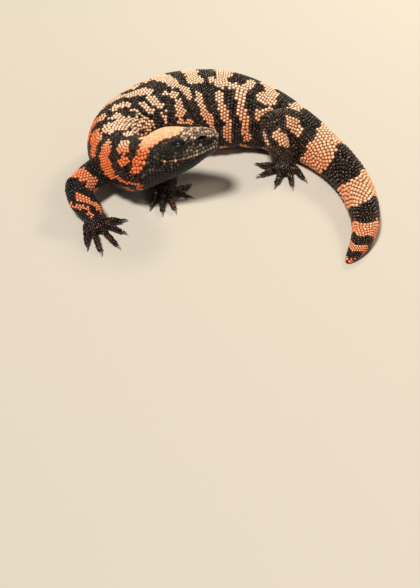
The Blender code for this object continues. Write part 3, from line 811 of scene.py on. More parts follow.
def source_shells():
    """The closed shells that the hide is made from, each with what the points of it are: a part's number, and a
    distance and turn on the body or the share along a limb."""
    distances = np.arange(0.9, TOTAL_LENGTH - 0.6, 1.25)
    turns = np.arange(-180, 180, 2.5)
    grow = -along(BODY_COAT, distances)[:, None]
    grid = body_surface(distances[:, None], turns[None], grow, along(BODY_COAT, distances)[:, None])
    ends = []
    for ring, heading, bulge in ((grid[0], SPINE[3][0] + math.pi, 1.5), (grid[-1], SPINE[3][-1], 0.9)):
        way = np.array([math.cos(heading), math.sin(heading), 0])
        bent = np.radians(np.array([25, 50, 70]))[:, None, None]
        middle = ring.mean(0)
        ends.append(middle + (ring - middle) * np.cos(bent) + way * bulge * np.sin(bent))
    full = np.concatenate([ends[0][::-1], grid, ends[1]])
    shells = [closed_shell(full)]
    labels = [{"part": 0, "distance": np.concatenate([[0.9] * 3, distances, [TOTAL_LENGTH] * 3])}]
    for number, limb in enumerate(LIMBS.values(), start=1):
        for tube_row in limb_tubes(limb):
            sides = 40 if tube_row["part"] in ("upper", "lower", "palm") else 24
            points = tube(tube_row["path"], tube_row["sizes"], np.arange(0, 360, 360 / sides))
            points[..., 2] = np.maximum(points[..., 2], tube_row["depth"])
            shells.append(closed_shell(points))
            start = {"upper": 0, "lower": 1}.get(tube_row["part"], 2)
            share = np.minimum(np.linspace(start, start + 1.0, len(points)), 3)
            labels.append({"part": number, "distance": share})
    return shells, labels


def label_points(shells, labels):
    """The shells' points in one array with the part and the distance or share of each."""
    points, parts, distances = [], [], []
    for (shell_points, _, _), label in zip(shells, labels):
        rings = len(label["distance"])
        sides = (len(shell_points) - 2) // rings
        values = np.repeat(np.asarray(label["distance"], float), sides)
        points.append(shell_points)
        parts.append(np.full(len(shell_points), label["part"]))
        distances.append(np.concatenate([values, [label["distance"][0], label["distance"][-1]]]))
    return np.vstack(points), np.concatenate(parts), np.concatenate(distances)


def fused(shells, voxel):
    """One closed mesh round all the shells, from Blender's voxel remesh."""
    points, quads, fans = join_shells(shells)
    holder = bpy.data.objects.new("hide_source", new_mesh("hide_source", points, [quads, fans]))
    bpy.context.scene.collection.objects.link(holder)
    remesh = holder.modifiers.new("fuse", "REMESH")
    remesh.mode = "VOXEL"
    remesh.voxel_size = voxel
    graph = bpy.context.evaluated_depsgraph_get()
    mesh = bpy.data.meshes.new_from_object(holder.evaluated_get(graph))
    source = holder.data
    bpy.data.objects.remove(holder)
    bpy.data.meshes.remove(source)
    mesh.shade_smooth()
    return mesh


def mesh_edges(mesh):
    edges = np.empty(len(mesh.edges) * 2, np.int32)
    mesh.edges.foreach_get("vertices", edges)
    return edges.reshape(-1, 2)


def smoothed(points, edges, rounds, weight):
    """Points moved towards the mean of their neighbours and then a little back, so that nothing shrinks."""
    both = np.vstack([edges, edges[:, ::-1]])
    count = np.maximum(np.bincount(both[:, 0], minlength=len(points)), 1)[:, None]
    for _ in range(rounds):
        for strength in (0.5, -0.52):
            total = np.stack(
                [np.bincount(both[:, 0], points[both[:, 1], k], minlength=len(points)) for k in range(3)], -1
            )
            points = points + strength * weight[:, None] * (total / count - points)
    return points


def refined(mesh, wanted):
    """The mesh with every edge between two wanted vertices split once."""
    edges = mesh_edges(mesh)
    chosen = np.flatnonzero(wanted[edges[:, 0]] & wanted[edges[:, 1]])
    work = bmesh.new()
    work.from_mesh(mesh)
    work.edges.ensure_lookup_table()
    bmesh.ops.subdivide_edges(work, edges=[work.edges[i] for i in chosen], cuts=1, use_grid_fill=True)
    work.to_mesh(mesh)
    work.free()
    mesh.shade_smooth()
    return mesh


def build_hide(settings):
    """The one skin: body and limbs fused, smoothed over their joins, refined on the head and given its folds."""
    shells, labels = source_shells()
    source, part_of, distance_of = label_points(shells, labels)
    mesh = fused(shells, settings.voxel)
    points = smoothed(mesh_points(mesh), mesh_edges(mesh), settings.smoothing, np.ones(len(mesh.vertices)))
    set_points(mesh, points)
    index, _ = nearest(points, source, 4.0)
    on_head = (part_of[index] == 0) & (distance_of[index] < HEAD_END - 4) & (index >= 0)
    refined(mesh, on_head)
    points = mesh_points(mesh)
    index, _ = nearest(points, source, 4.0)
    part = np.where(index >= 0, part_of[index], 0)
    first = np.where(index >= 0, distance_of[index], MID_TRUNK)
    weight = ((part == 0) & (first < HEAD_END)).astype(float)
    points = smoothed(points, mesh_edges(mesh), 2, weight)
    set_points(mesh, points)
    distance, turn, rise = unroll(points, np.where(part == 0, first, MID_TRUNK))
    relief = fold_relief(distance, turn, settings.fold_height / MM)
    relief = relief + face_relief(distance, turn, rise) * (distance < HEAD_END)
    points = points + mesh_normals(mesh) * np.where(part == 0, relief, 0)[:, None]
    points[:, 2] = np.maximum(points[:, 2], 0.3)
    set_points(mesh, points)
    gap = body_gap(points, distance, turn)
    names = list(LIMBS)
    for number, name in enumerate(names, start=1):
        gap = np.where(part == number, limb_gap(points, name, first), gap)
    set_numbers(mesh, "marking", 1 - ease(-0.9, 0.9, gap))
    set_numbers(mesh, "warmth", np.where(part == 0, warmth_of(distance, turn), np.where(part < 3, 0.85, 0.42)))
    set_numbers(mesh, "tone", 0.5 + 0.4 * ripple(points, 6))
    # The hide between the crown's flat plates is painted lighter than elsewhere: it carries less of the painted shade
    # that the hide has in the gaps between beads.
    crown = (part == 0) * ease(30, 36, distance) * (1 - ease(62, 72, distance)) * (1 - ease(50, 62, abs(turn)))
    set_numbers(mesh, "crest", 0.55 * crown)
    return mesh


def row_turns(ring, turns, spacing, phase):
    """Turns at even steps of arc length round one closed ring of points."""
    closed = np.vstack([ring, ring[:1]])
    length = np.concatenate([[0], np.cumsum(np.linalg.norm(np.diff(closed, axis=0), axis=1))])
    count = max(round(length[-1] / spacing), 5)
    places = (np.arange(count) + phase) / count * length[-1]
    return np.interp(places, length, np.append(turns, turns[0] + 360))


def rank_of(row):
    """How many times a row's number can be halved, so that of crowded rows every second one is kept first."""
    return 9 if row == 0 else min((row & -row).bit_length(), 9)


def body_sites():
    """Places of the body's beads: rows across the spine, set close enough for the outer side of each bend, each
    row even round the body and shifted half a step from the last, and all a little astray, most on the head."""
    rows, distance, number = [], 1.4, 0
    turns = np.arange(-180, 180, 1.5)
    while distance < TOTAL_LENGTH + 6:
        spacing = float(along(BODY_SPACING, distance))
        coat = float(along(BODY_COAT, distance))
        ring = body_surface(row_places(distance, turns), turns, -coat, coat)
        chosen = row_turns(ring, turns, spacing, 0.5 * (number % 2))
        chosen = np.mod(chosen + 180, 360) - 180
        seed = np.column_stack([np.full(len(chosen), distance), chosen, np.full(len(chosen), number)])
        loose = spacing * (0.1 + 0.45 * (1 - float(ease(60, 90, distance))))
        places = row_places(distance, chosen) + loose * (scatter(seed, 21) - 0.5)
        chosen = chosen + loose * (scatter(seed, 22) - 0.5) / girth_step(distance)
        kept = places < TOTAL_LENGTH - 0.7
        places, chosen = np.maximum(places[kept], 1.2), chosen[kept]
        rows.append(
            np.column_stack([
                places, chosen, np.full(len(chosen), spacing), np.full(len(chosen), rank_of(number)),
                body_surface(places, chosen, -coat, coat),
            ])
        )
        bend = float(spine_at(distance)[3])
        distance += 0.87 * spacing / (1 + float(along(HALF_WIDTH, distance)) / bend)
        number += 1
    return np.vstack(rows)


def clear_of_features(distance, turn, rise):
    """True where the head's even rows may stand: off the mouth, the lids, the nostril and the ear."""
    off_mouth = (abs(rise - mouth_rise(distance)) > 3.6) | (distance > MOUTH_END + 1)
    eye_along, eye_round = eye_offsets(distance, turn)
    off_eye = np.hypot(eye_along / 9.7, eye_round / 7.8) > 1
    slit_along, slit_across = nostril_offsets(distance, turn)
    off_nostril = np.hypot(slit_along / 5.4, slit_across / 3.1) > 1
    ear_along, ear_round = ear_offsets(distance, turn)
    off_ear = np.hypot(ear_along / 3.6, ear_round / 4.9) > 1
    return (off_mouth & off_eye & off_nostril & off_ear) | (distance > HEAD_END)


def turn_of_rise(distance, rise):
    """The turn at which the lower section stands at a rise below its widest level."""
    share = np.clip(-rise / half_height(distance, False), 0, 1)
    return 180 - np.degrees(np.arccos(share ** (1 / bow(distance, False))))


def feature_sites():
    """Beads set round the face: two rows of lip shields above and below the mouth, rings of small ones
    round the eye, the nostril and the ear. Each row is distance, turn and spacing."""
    found = []
    for off, spacing in ((1.85, 2.7), (-1.6, 2.3)):
        distance = np.arange(2.2, MOUTH_END, spacing)
        turn = turn_of_rise(distance, np.minimum(mouth_rise(distance) + off, -0.05))
        found.append(np.column_stack([distance, turn, np.full(len(distance), spacing)]))
    for place, offsets in (
        (EYE_PLACE, ((5.4, 3.7, 1.5), (6.9, 5.1, 1.75), (8.7, 6.8, 2.1))),
        (NOSTRIL_PLACE, ((4.9, 2.6, 1.6),)),
        (EAR_PLACE, ((3.4, 4.6, 1.8),)),
    ):
        for reach, reach_round, spacing in offsets:
            count = round(2 * math.pi * math.hypot(reach, reach_round) / math.sqrt(2) / spacing)
            angle = np.arange(count) / count * 2 * math.pi
            distance = place[0] + reach * np.cos(angle)
            turn = place[1] + reach_round * np.sin(angle) / girth_step(place[0])
            found.append(np.column_stack([distance, turn, np.full(count, spacing)]))
    one_side = np.vstack(found)
    other_side = one_side * [1, -1, 1]
    return np.vstack([one_side, other_side])


def limb_sites(limb, part):
    """Places of one limb's beads: rows across each of its tubes, closer at the wrist or ankle."""
    found = []
    turns = np.arange(0, 360, 4.0)
    for strip, row in enumerate(limb_tubes(limb)):
        grid = tube(row["path"], row["sizes"], turns)
        grid[..., 2] = np.maximum(grid[..., 2], row["depth"])
        length = np.concatenate([[0], np.cumsum(np.linalg.norm(np.diff(row["path"], axis=0), axis=1))])
        start = {"upper": 0, "lower": 1}.get(row["part"], 2)
        place, number = 0.6, 0
        while place < length[-1] - 0.3:
            share = place / length[-1]
            spacing = {"palm": PALM_SPACING, "upper": LIMB_SPACING, "lower": LIMB_SPACING}.get(row["part"], TOE_SPACING)
            if row["part"] == "lower":
                spacing = LIMB_SPACING + (WRIST_SPACING - LIMB_SPACING) * float(ease(0.5, 0.8, share))
            on_toe = row["part"].startswith("toe")
            k = np.interp(place, length, np.arange(len(length)))
            low = int(min(k, len(grid) - 2))
            ring = grid[low] + (grid[low + 1] - grid[low]) * (k - low)
            chosen = row_turns(ring, turns, spacing, 0.5 * (number % 2))
            closed = np.vstack([ring, ring[:1]])
            steps = np.append(turns, 360)
            points = np.stack([np.interp(np.mod(chosen, 360), steps, closed[:, axis]) for axis in range(3)], -1)
            found.append(
                np.column_stack([
                    np.full(len(chosen), start + share), chosen, np.full(len(chosen), spacing),
                    np.full(len(chosen), 20 if on_toe else rank_of(number)), points, np.full(len(chosen), strip),
                ])
            )
            place += (TOE_ROW_SHARE if on_toe else 0.87) * spacing
            number += 1
    found = np.vstack(found)
    return found, np.full(len(found), part)


def onto(points, surface, normals, reach):
    """Points moved onto a surface along its nearest vertex's normal, that normal, and how far the vertex is."""
    for _ in range(2):
        index, gap = nearest(points, surface, reach)
        safe = np.maximum(index, 0)
        normal = normals[safe]
        height = ((points - surface[safe]) * normal).sum(1, keepdims=True)
        points = np.where(index[:, None] >= 0, points - normal * height, points)
    return points, normal, np.where(index >= 0, gap, np.inf)


def uncrowded(points, normals, spacing, rank, share):
    """True for places to keep: of two closer than a share of their spacing, the one of higher rank stays."""
    i, j = close_pairs(points, points, float(spacing.max()) * share)
    gap = np.linalg.norm(points[i] - points[j], axis=1)
    tight = (i != j) & (gap < share * (spacing[i] + spacing[j]) / 2) & ((normals[i] * normals[j]).sum(1) > 0.1)
    i, j = i[tight], j[tight]
    loses = (rank[j] > rank[i]) | ((rank[j] == rank[i]) & (j < i))
    keep = np.ones(len(points), bool)
    keep[i[loses]] = False
    return keep


def relaxed(points, normals, spacing, free, surface, surface_normals, rounds):
    """Places pushed apart along the surface until they stand about their spacing from each other: each
    neighbour nearer than a little over the spacing pushes by a share of what is missing."""
    for _ in range(rounds):
        i, j = close_pairs(points, points, float(spacing.max()) * 1.12)
        apart = points[i] - points[j]
        gap = np.maximum(np.linalg.norm(apart, axis=1), 0.05)
        wanted = 1.08 * (spacing[i] + spacing[j]) / 2
        acts = (i != j) & (gap < wanted) & ((normals[i] * normals[j]).sum(1) > 0)
        push = (apart / gap[:, None] * (0.3 * (wanted - gap))[:, None])[acts]
        i = i[acts]
        total = np.stack([np.bincount(i, push[:, k], minlength=len(points)) for k in range(3)], -1)
        total -= normals * (total * normals).sum(1, keepdims=True)
        length = np.maximum(np.linalg.norm(total, axis=1, keepdims=True), 1e-6)
        total *= np.minimum(length, 0.22 * spacing[:, None]) / length
        points = points + total * free[:, None]
        points, normals, _ = onto(points, surface, surface_normals, 3.2)
    return points, normals


def cell_radii(points, normals, tailward, spacing, sides):
    """How far each bead reaches in each of its directions: a soft minimum of the half ways to its neighbours,
    taken as a seventh-power mean of their closeness, and of its own greatest reach."""
    reach = float(spacing.max()) * 2.1
    i, j = close_pairs(points, points, reach)
    keep = (i != j) & ((normals[i] * normals[j]).sum(1) > 0.15)
    i, j = i[keep], j[keep]
    apart = points[j] - points[i]
    gap = np.maximum(np.linalg.norm(apart, axis=1), 0.2)
    sideways = np.cross(normals, tailward)
    ahead = (apart * tailward[i]).sum(1) / gap
    aside = (apart * sideways[i]).sum(1) / gap
    flat = np.maximum(np.hypot(ahead, aside), 1e-6)
    angles = np.arange(sides) / sides * 2 * math.pi
    toward = (ahead[:, None] * np.cos(angles) + aside[:, None] * np.sin(angles)) / flat[:, None]
    weight = spacing[i] / (spacing[i] + spacing[j])
    closeness = np.maximum(toward, 0) / (gap * weight)[:, None]
    power = 7
    total = np.stack([np.bincount(i, closeness[:, k] ** power, minlength=len(points)) for k in range(sides)], -1)
    total += (1 / (0.8 * spacing))[:, None] ** power
    return total ** (-1 / power)


def bead_mesh(name, sites, sides, fill):
    """Domes over the sites, all in one mesh: each a sunk foot, a shoulder and a crown ring, scaled from the cell's
    outline, and a top that leans tailward. Their patches of the bake map lie at their roots' places."""
    points, normals, tailward = sites["point"], sites["normal"], sites["tailward"]
    sideways = np.cross(normals, tailward)
    radii = sites["radii"] * fill
    mean = radii.mean(1)
    height = mean * sites["proud"]
    angles = np.arange(sides) / sides * 2 * math.pi
    rings = []
    for share, level, lean in ((1.0, -0.4, 0.0), (0.83, 0.4, 0.03), (0.5, 0.87, 0.09), (0.0, 1.0, 0.12)):
        count = sides if share else 1
        flat = tailward[:, None] * np.cos(angles[:count])[:, None] + sideways[:, None] * np.sin(angles[:count])[:, None]
        out = flat * (radii[:, :count] * share)[..., None]
        shift = normals * (height * level)[:, None] + tailward * (mean * lean)[:, None]
        rings.append(points[:, None] + out + shift[:, None])
    grid = np.concatenate(rings, 1)
    grid[..., 2] = np.maximum(grid[..., 2], 0.03)
    per_bead = 3 * sides + 1
    start = (np.arange(len(points)) * per_bead)[:, None, None]
    i = np.arange(sides)
    j = (i + 1) % sides
    quads = np.vstack([np.stack([k * sides + i, k * sides + j, (k + 1) * sides + j, (k + 1) * sides + i], -1)
                       for k in range(2)])
    fans = np.stack([2 * sides + i, 2 * sides + j, np.full(sides, 3 * sides)], -1)
    foot = i[::-1][None]
    faces = [(block[None] + start).reshape(-1, block.shape[1]) for block in (quads, fans, foot)]
    mesh = new_mesh(name, grid.reshape(-1, 3), faces)
    # The crest runs from 0 at the sunk foot to 1 at the top, and the materials paint a bead lighter towards its crest
    # and darker towards its foot: painted highlight and painted shade. Crown beads get fainter painted shade at their
    # feet, and lit scales the whole bead down under the jaw, which is painted shade.
    crest = np.concatenate([np.zeros(sides), np.full(sides, 0.45), np.full(sides, 0.85), [1.0]])
    crest = (1 - (1 - crest) * (1 - 0.85 * sites["crown_less_painted_shade"][:, None])) * sites["lit"][:, None]
    set_numbers(mesh, "crest", crest.ravel())
    for attribute in ("marking", "warmth", "tone"):
        set_numbers(mesh, attribute, np.repeat(sites[attribute], per_bead))
    around = np.column_stack([np.cos(angles), np.sin(angles)])
    patch = np.vstack([around, around * 0.8, around * 0.45, [[0, 0]]]) * 0.0015
    places = (sites["unwrap"][:, None] + patch[None]).reshape(-1, 2)
    corners = np.concatenate([block.ravel() for block in faces])
    layer = mesh.uv_layers.new(name="OFBake")
    layer.uv.foreach_set("vector", places[corners].astype(np.float32).ravel())
    return mesh


def gather_sites(hide):
    """Every bead's place on the hide with its normal, spacing, rank and part, and whether it stays where it was set."""
    surface, surface_normals = mesh_points(hide), mesh_normals(hide)
    body = body_sites()
    distance, turn = body[:, 0], body[:, 1]
    _, _, rise = unroll(body[:, 4:7], distance)
    body = body[clear_of_features(distance, turn, rise)]
    features = feature_sites()
    coat = along(BODY_COAT, features[:, 0])
    feature_points = body_surface(features[:, 0], features[:, 1], -coat, coat)
    rows = [np.column_stack([body[:, :7], np.zeros(len(body))])]
    rows.append(np.column_stack([features[:, :3], np.full(len(features), 20), feature_points, np.ones(len(features))]))
    parts = [np.zeros(len(body)), np.zeros(len(features))]
    for number, limb in enumerate(LIMBS.values(), start=1):
        found, part = limb_sites(limb, number)
        rows.append(found)
        parts.append(part)
    rows, part = np.vstack(rows), np.concatenate(parts).astype(int)
    points, normals, gap = onto(rows[:, 4:7], surface, surface_normals, 3.2)
    moved = np.linalg.norm(points - rows[:, 4:7], axis=1)
    fixed = rows[:, 3] == 20
    keep = (gap < 1.6) & ((moved < 1.7) | (fixed & (part == 0)))
    rows, part, points, normals, fixed = rows[keep], part[keep], points[keep], normals[keep], fixed[keep]
    rank = rows[:, 3] + np.where(part == 0, 0.5, 0)
    keep = uncrowded(points, normals, rows[:, 2], rank, 0.62)
    rows, part, points, normals, fixed = rows[keep], part[keep], points[keep], normals[keep], fixed[keep]
    free = (~fixed).astype(float)
    points, normals = relaxed(points, normals, rows[:, 2], free, surface, surface_normals, 7)
    keep = uncrowded(points, normals, rows[:, 2], rows[:, 3], 0.6)
    rows, part, points, normals, fixed = rows[keep], part[keep], points[keep], normals[keep], fixed[keep]
    return rows, part, points, normals, fixed


def tailward_ways(rows, part, points, normals):
    """The way the coat lies at each site: back along the spine on the body, and down the limb on a limb."""
    heading = spine_at(rows[:, 0])[2]
    ways = np.stack([np.cos(heading), np.sin(heading), np.zeros(len(heading))], -1)
    for number, limb in enumerate(LIMBS.values(), start=1):
        for strip, row in enumerate(limb_tubes(limb)):
            chosen = (part == number) & (rows[:, 7] == strip)
            index, _ = nearest(points[chosen], row["path"], 60.0)
            ways[chosen] = np.gradient(row["path"], axis=0)[index]
    ways -= normals * (ways * normals).sum(1, keepdims=True)
    return ways / np.maximum(np.linalg.norm(ways, axis=1, keepdims=True), 1e-9)


BEAD_REGIONS = (
    ("beads_head", 0, HEAD_END), ("beads_neck", HEAD_END, 115), ("beads_trunk_front", 115, 172),
    ("beads_trunk_middle", 172, 232), ("beads_trunk_rear", 232, 300), ("beads_hip", 300, 352),
    ("beads_tail_base", 352, 410), ("beads_tail_middle", 410, 460), ("beads_tail_tip", 460, 509),
)


def build_beads(hide, settings):
    """All bead pieces, from the sites: each bead takes one colour, as its place in the markings says."""
    rows, part, points, normals, fixed = gather_sites(hide)
    on_body = part == 0
    distance, turn, rise = unroll(points, np.where(on_body, rows[:, 0], MID_TRUNK))
    tailward = tailward_ways(rows, part, points, normals)
    gap = body_gap(points, distance, turn)
    warmth = warmth_of(distance, turn)
    for number, name in enumerate(LIMBS, start=1):
        chosen = part == number
        gap[chosen] = limb_gap(points[chosen], name, rows[chosen, 0])
        odds = LIMB_BANDS[name][2] * bell(rows[chosen, 0] - 1.5, 0.42)
        spots = (scatter(points[chosen], 3) < odds) & (ripple(points[chosen], 14) > -0.15)
        gap[chosen] = np.where(spots, -1, gap[chosen])
        warmth[chosen] = 0.85 if "front" in name else 0.42
    jitter = (scatter(points, 1) - 0.5) * (1.1 - 0.9 * ease(400, 470, distance))
    marking = (gap + jitter < 0).astype(float)
    face = on_body & (distance < 62) & (marking < 0.5)
    top = face & (distance < 33) & (abs(turn) < 62)
    # The face's dark beads are lifted at random towards pale in patches, strongly on the snout's top and faintly on the
    # cheeks: partly the face's own mottling and partly painted highlight.
    patchy = np.clip(0.45 + 0.5 * ripple(points, 7) + 0.7 * (scatter(points, 5) - 0.5), 0, 1)
    dull = np.where(top, 0.16 + 0.62 * ease(0.25, 0.75, patchy), 0.11 * ease(0.45, 0.95, patchy))
    dull = dull * (1 - ease(112, 130, abs(turn)))
    marking = np.where(face, np.maximum(marking, dull), marking)
    warmth = np.where(face, np.where(top, 0.14, 0.55), warmth)
    # Upper-lip shields near the front are lifted at random towards grey: partly the shields' own grey and partly
    # painted highlight.
    above_mouth = rise > mouth_rise(distance)
    upper_lip_grey_and_highlight = face & above_mouth & (distance < 31) & (abs(turn) > 84)
    marking = np.where(upper_lip_grey_and_highlight, 0.05 + 0.34 * scatter(points, 7) ** 2, marking)
    warmth = np.where(upper_lip_grey_and_highlight, 0.08, warmth)
    # The lip shields below the mouth are painted paler than those above, and those at the snout's front edge paler
    # still: painted highlight along the lower lip and along the snout's front edge, over the shields' own grey.
    lips = face & fixed & (abs(turn) > 98) & (distance < 40)
    lip_grey_and_highlight = (0.1 + 0.3 * scatter(points, 12)) * (1 - 0.85 * ease(22, 38, distance))
    marking = np.where(lips, lip_grey_and_highlight * np.where(above_mouth, 0.55, 1.0), marking)
    marking = np.where(lips & above_mouth & (distance < 9), 0.6, marking)
    warmth = np.where(lips, 0.04, warmth)
    cheek = face & (distance > 26) & (abs(turn) > 92) & (abs(turn) < 142)
    spotted = cheek & (scatter(points, 6) < 0.055)
    marking, warmth = np.where(spotted, 0.95, marking), np.where(spotted, 0.75, warmth)
    dark = on_body & (distance > 62) & (marking < 0.5)
    marking = np.where(dark, 0.08 * scatter(points, 8) ** 2, marking)
    # Beads of the palms and toes are lifted at random towards pale, more on the left hind foot: partly the hind foot's
    # own reddish-brown top and partly painted glints on the toes.
    foot_tint_and_glints = ~on_body & (rows[:, 7] >= 2) & (marking < 0.5)
    marking = np.where(foot_tint_and_glints, np.where(part == 3, 0.16, 0.1) * scatter(points, 9) ** 3, marking)
    # Dark beads of the left hind leg are lifted a little towards golden brown at random: painted glints.
    knee = (part == 3) & (rows[:, 7] < 2) & (marking < 0.5)
    marking = np.where(knee, 0.02 + 0.1 * scatter(points, 10) ** 2, marking)
    # Pale markings are painted darker in the valleys of the neck's folds: painted shade.
    fold_valley_shade = ease(0.05, 0.45, -neck_ridge(distance, turn)) * ease(2, 30, turn) * (1 - ease(112, 134, turn))
    fold_valley_shade = fold_valley_shade * ease(80, 88, distance) * (1 - ease(136, 156, distance)) * on_body
    marking = marking * (1 - 0.8 * fold_valley_shade)
    proud = np.where(on_body, 0.68 + 0.12 * ease(340, 380, distance), 0.62)
    proud = np.where(on_body & (distance < HEAD_END), 0.5, proud)
    # crown marks the crown's flat plates: they stand lower and carry fainter painted shade at their feet.
    crown = on_body * ease(24, 34, distance) * (1 - ease(64, 76, distance)) * (1 - ease(52, 70, abs(turn)))
    proud = proud - 0.24 * crown
    proud = np.where(~on_body & (rows[:, 7] > 2), 0.42, proud)
    proud = np.where(on_body & (abs(turn) > 118) & (distance > HEAD_END), 0.4, proud)
    proud = proud * (1 + 0.16 * (scatter(points, 11) - 0.5))
    # Beads under the jaw are painted darker towards the throat through lit: painted shade.
    under_jaw = on_body & (distance < HEAD_END) & (marking < 0.2)
    lit = np.where(under_jaw, 1 - 0.75 * ease(108, 132, abs(turn)), 1.0)
    everything = {
        "point": points, "normal": normals, "tailward": tailward, "proud": proud, "marking": marking,
        "warmth": np.clip(warmth + 0.16 * (scatter(points, 13) - 0.5), 0, 1), "tone": scatter(points, 17),
        "crown_less_painted_shade": crown, "lit": lit,
    }
    body_material = beaded_hide("keratin_over_bony_beads", 0.3)
    groups = []
    for name, start, end in BEAD_REGIONS:
        chosen = on_body & (distance >= start) & (distance < end)
        unwrap = np.column_stack([(distance - start) / (end - start), (turn + 180) / 360])
        groups.append((name, chosen, 0.01 + 0.98 * np.clip(unwrap, 0, 1), settings.bead_sides))
    for number, name in enumerate(LIMBS, start=1):
        strip = rows[:, 7]
        unwrap = np.column_stack([np.mod(rows[:, 0], 1.0), (strip + np.mod(rows[:, 1], 360) / 360) / 8])
        groups.append((f"beads_{name}", part == number, 0.01 + 0.98 * np.clip(unwrap, 0, 1), 8))
    for name, chosen, unwrap, sides in groups:
        radii = cell_radii(points, normals, tailward, rows[:, 2], sides)
        sites = {key: values[chosen] for key, values in everything.items()}
        sites["radii"], sites["unwrap"] = radii[chosen], unwrap[chosen]
        mesh = bead_mesh(name, sites, sides, settings.bead_fill)
        new_piece(name, mesh, body_material)
        print(f"{name}: {int(chosen.sum())} beads, {len(mesh.polygons)} faces")


def ball_grid(centre, normal, tailward, reaches, bulge=0.0):
    """A ball or lens about its normal: rings at equal steps of the polar angle, with a low bell-shaped bulge at
    the pole for a cornea. reaches are its half sizes along, across and out."""
    sideways = np.cross(normal, tailward)
    polar = np.radians(np.linspace(3, 177, 30))[:, None, None]
    angle = np.radians(np.arange(0, 360, 10))[None, :, None]
    swell = 1 + bulge * bell(np.degrees(polar), 34)
    return (
        centre
        + tailward * reaches[0] * np.sin(polar) * np.cos(angle) * swell
        + sideways * reaches[1] * np.sin(polar) * np.sin(angle) * swell
        + normal * reaches[2] * np.cos(polar) * swell
    )


def build_eye(side, sign, material, lid_material):
    """The eyeball in its socket and the two lids as one almond-shaped roll that lies on it."""
    here, normal, tailward = surface_frame(EYE_PLACE[0], sign * EYE_PLACE[1])
    centre = here - normal * EYE_DEPTH
    grid = ball_grid(centre, normal, tailward, (EYE_RADIUS,) * 3, 0.05)
    mesh = new_mesh(f"eyeball_{side}", *shell_blocks(grid))
    out = (mesh_points(mesh) - centre) / EYE_RADIUS
    set_numbers(mesh, "gaze", np.degrees(np.arccos(np.clip(out @ normal, -1, 1))))
    new_piece(f"eyeball_{side}", mesh, material, [f"eye_{side}"])
    downward = np.cross(normal, tailward)
    if downward[2] > 0:
        downward = -downward
    angle = np.radians(np.arange(0, 360, 6))
    ahead = EYE_OPENING[0] * np.sign(np.cos(angle)) * abs(np.cos(angle)) ** 1.15
    aside = EYE_OPENING[1] * np.sin(angle) * (0.82 + 0.18 * abs(np.sin(angle)))
    lid_reach = EYE_RADIUS + 0.3
    height = np.sqrt(np.maximum(lid_reach**2 - ahead**2 - aside**2, 0.4))
    ridge = centre + tailward * ahead[:, None] + downward * aside[:, None] + normal * height[:, None]
    outward = ridge - centre
    outward /= np.linalg.norm(outward, axis=1, keepdims=True)
    along_lid = np.roll(ridge, -1, 0) - np.roll(ridge, 1, 0)
    along_lid /= np.linalg.norm(along_lid, axis=1, keepdims=True)
    beside = np.cross(along_lid, outward)
    thickness = np.where(aside < 0, 1.0, 0.78) * (0.75 + 0.25 * abs(np.sin(angle)))
    turn = np.radians(np.arange(0, 360, 30))
    rolls = (
        ridge[:, None]
        + outward[:, None] * (thickness[:, None] * 0.8 * np.cos(turn))[..., None]
        + beside[:, None] * (thickness[:, None] * np.sin(turn))[..., None]
    )
    count, sides = rolls.shape[:2]
    k, i = np.meshgrid(np.arange(count), np.arange(sides), indexing="ij")
    j, after = (i + 1) % sides, (k + 1) % count
    quads = np.stack([k * sides + i, k * sides + j, after * sides + j, after * sides + i], -1).reshape(-1, 4)
    points = rolls.reshape(-1, 3)
    if signed_volume(points, quads, np.empty((0, 3), int)) < 0:
        quads = quads[:, ::-1]
    mesh = new_mesh(f"eyelids_{side}", points, [quads])
    # A pale line along the lower lid: painted highlight.
    lower_lid_highlight = 0.3 * ease(0.3, 0.9, np.sin(angle))[:, None] * ease(0.3, 0.8, np.cos(turn - math.pi / 2))
    set_numbers(mesh, "marking", lower_lid_highlight.ravel())
    set_numbers(mesh, "warmth", np.full(len(points), 0.1))
    set_numbers(mesh, "tone", 0.55 + 0.4 * ripple(points, 2.2))
    set_numbers(mesh, "crest", np.full(len(points), 0.6))
    new_piece(f"eyelids_{side}", mesh, lid_material)


def shell_blocks(grid):
    """The points and face arrays of a closed shell, as new_mesh takes them."""
    points, quads, fans = closed_shell(grid)
    return points, [quads, fans]


def build_ear(side, sign, material):
    """The eardrum as a thin lens in its recess."""
    here, normal, tailward = surface_frame(EAR_PLACE[0], sign * EAR_PLACE[1])
    grid = ball_grid(here - normal * EAR_DEPTH, normal, tailward, EAR_HALF_SIZES)
    mesh = new_mesh(f"eardrum_membrane_{side}", *shell_blocks(grid))
    new_piece(f"eardrum_membrane_{side}", mesh, material, [f"eardrum_{side}"])


def build_claws(name, limb, material):
    """The five claws of one foot: round tapered horns that curve down, their bases under the last beads."""
    shells, reach = [], []
    for number in range(len(limb["toes"])):
        _, end, way = toe_line(limb, number)
        rows = smooth_path(CLAW_STATIONS, 6)
        path = end + way * (0.3 + rows[:, :1]) + [0, 0, 1] * rows[:, 1:2]
        path, sizes = domed(path, np.repeat(rows[:, 2:], 2, 1) * [0.86, 1.0], 0.3)
        grid = tube(path, sizes, np.arange(0, 360, 22.5))
        shells.append(closed_shell(grid))
        reach.append(np.append(np.repeat(np.linspace(0, 1, len(path)), grid.shape[1]), [0, 1]))
    points, quads, fans = join_shells(shells)
    points[:, 2] = np.maximum(points[:, 2], 0.02)
    mesh = new_mesh(f"claws_{name}", points, [quads, fans])
    set_numbers(mesh, "reach", np.concatenate(reach))
    new_piece(f"claws_{name}", mesh, material, [f"claw_{name}_{k}" for k in range(1, 6)])


def linear(code):
    """A linear colour from an sRGB hex code: each channel by the standard's straight foot and 2.4 power."""
    channels = [int(code[k : k + 2], 16) / 255 for k in (1, 3, 5)]
    return (*[c / 12.92 if c <= 0.04045 else ((c + 0.055) / 1.055) ** 2.4 for c in channels], 1)


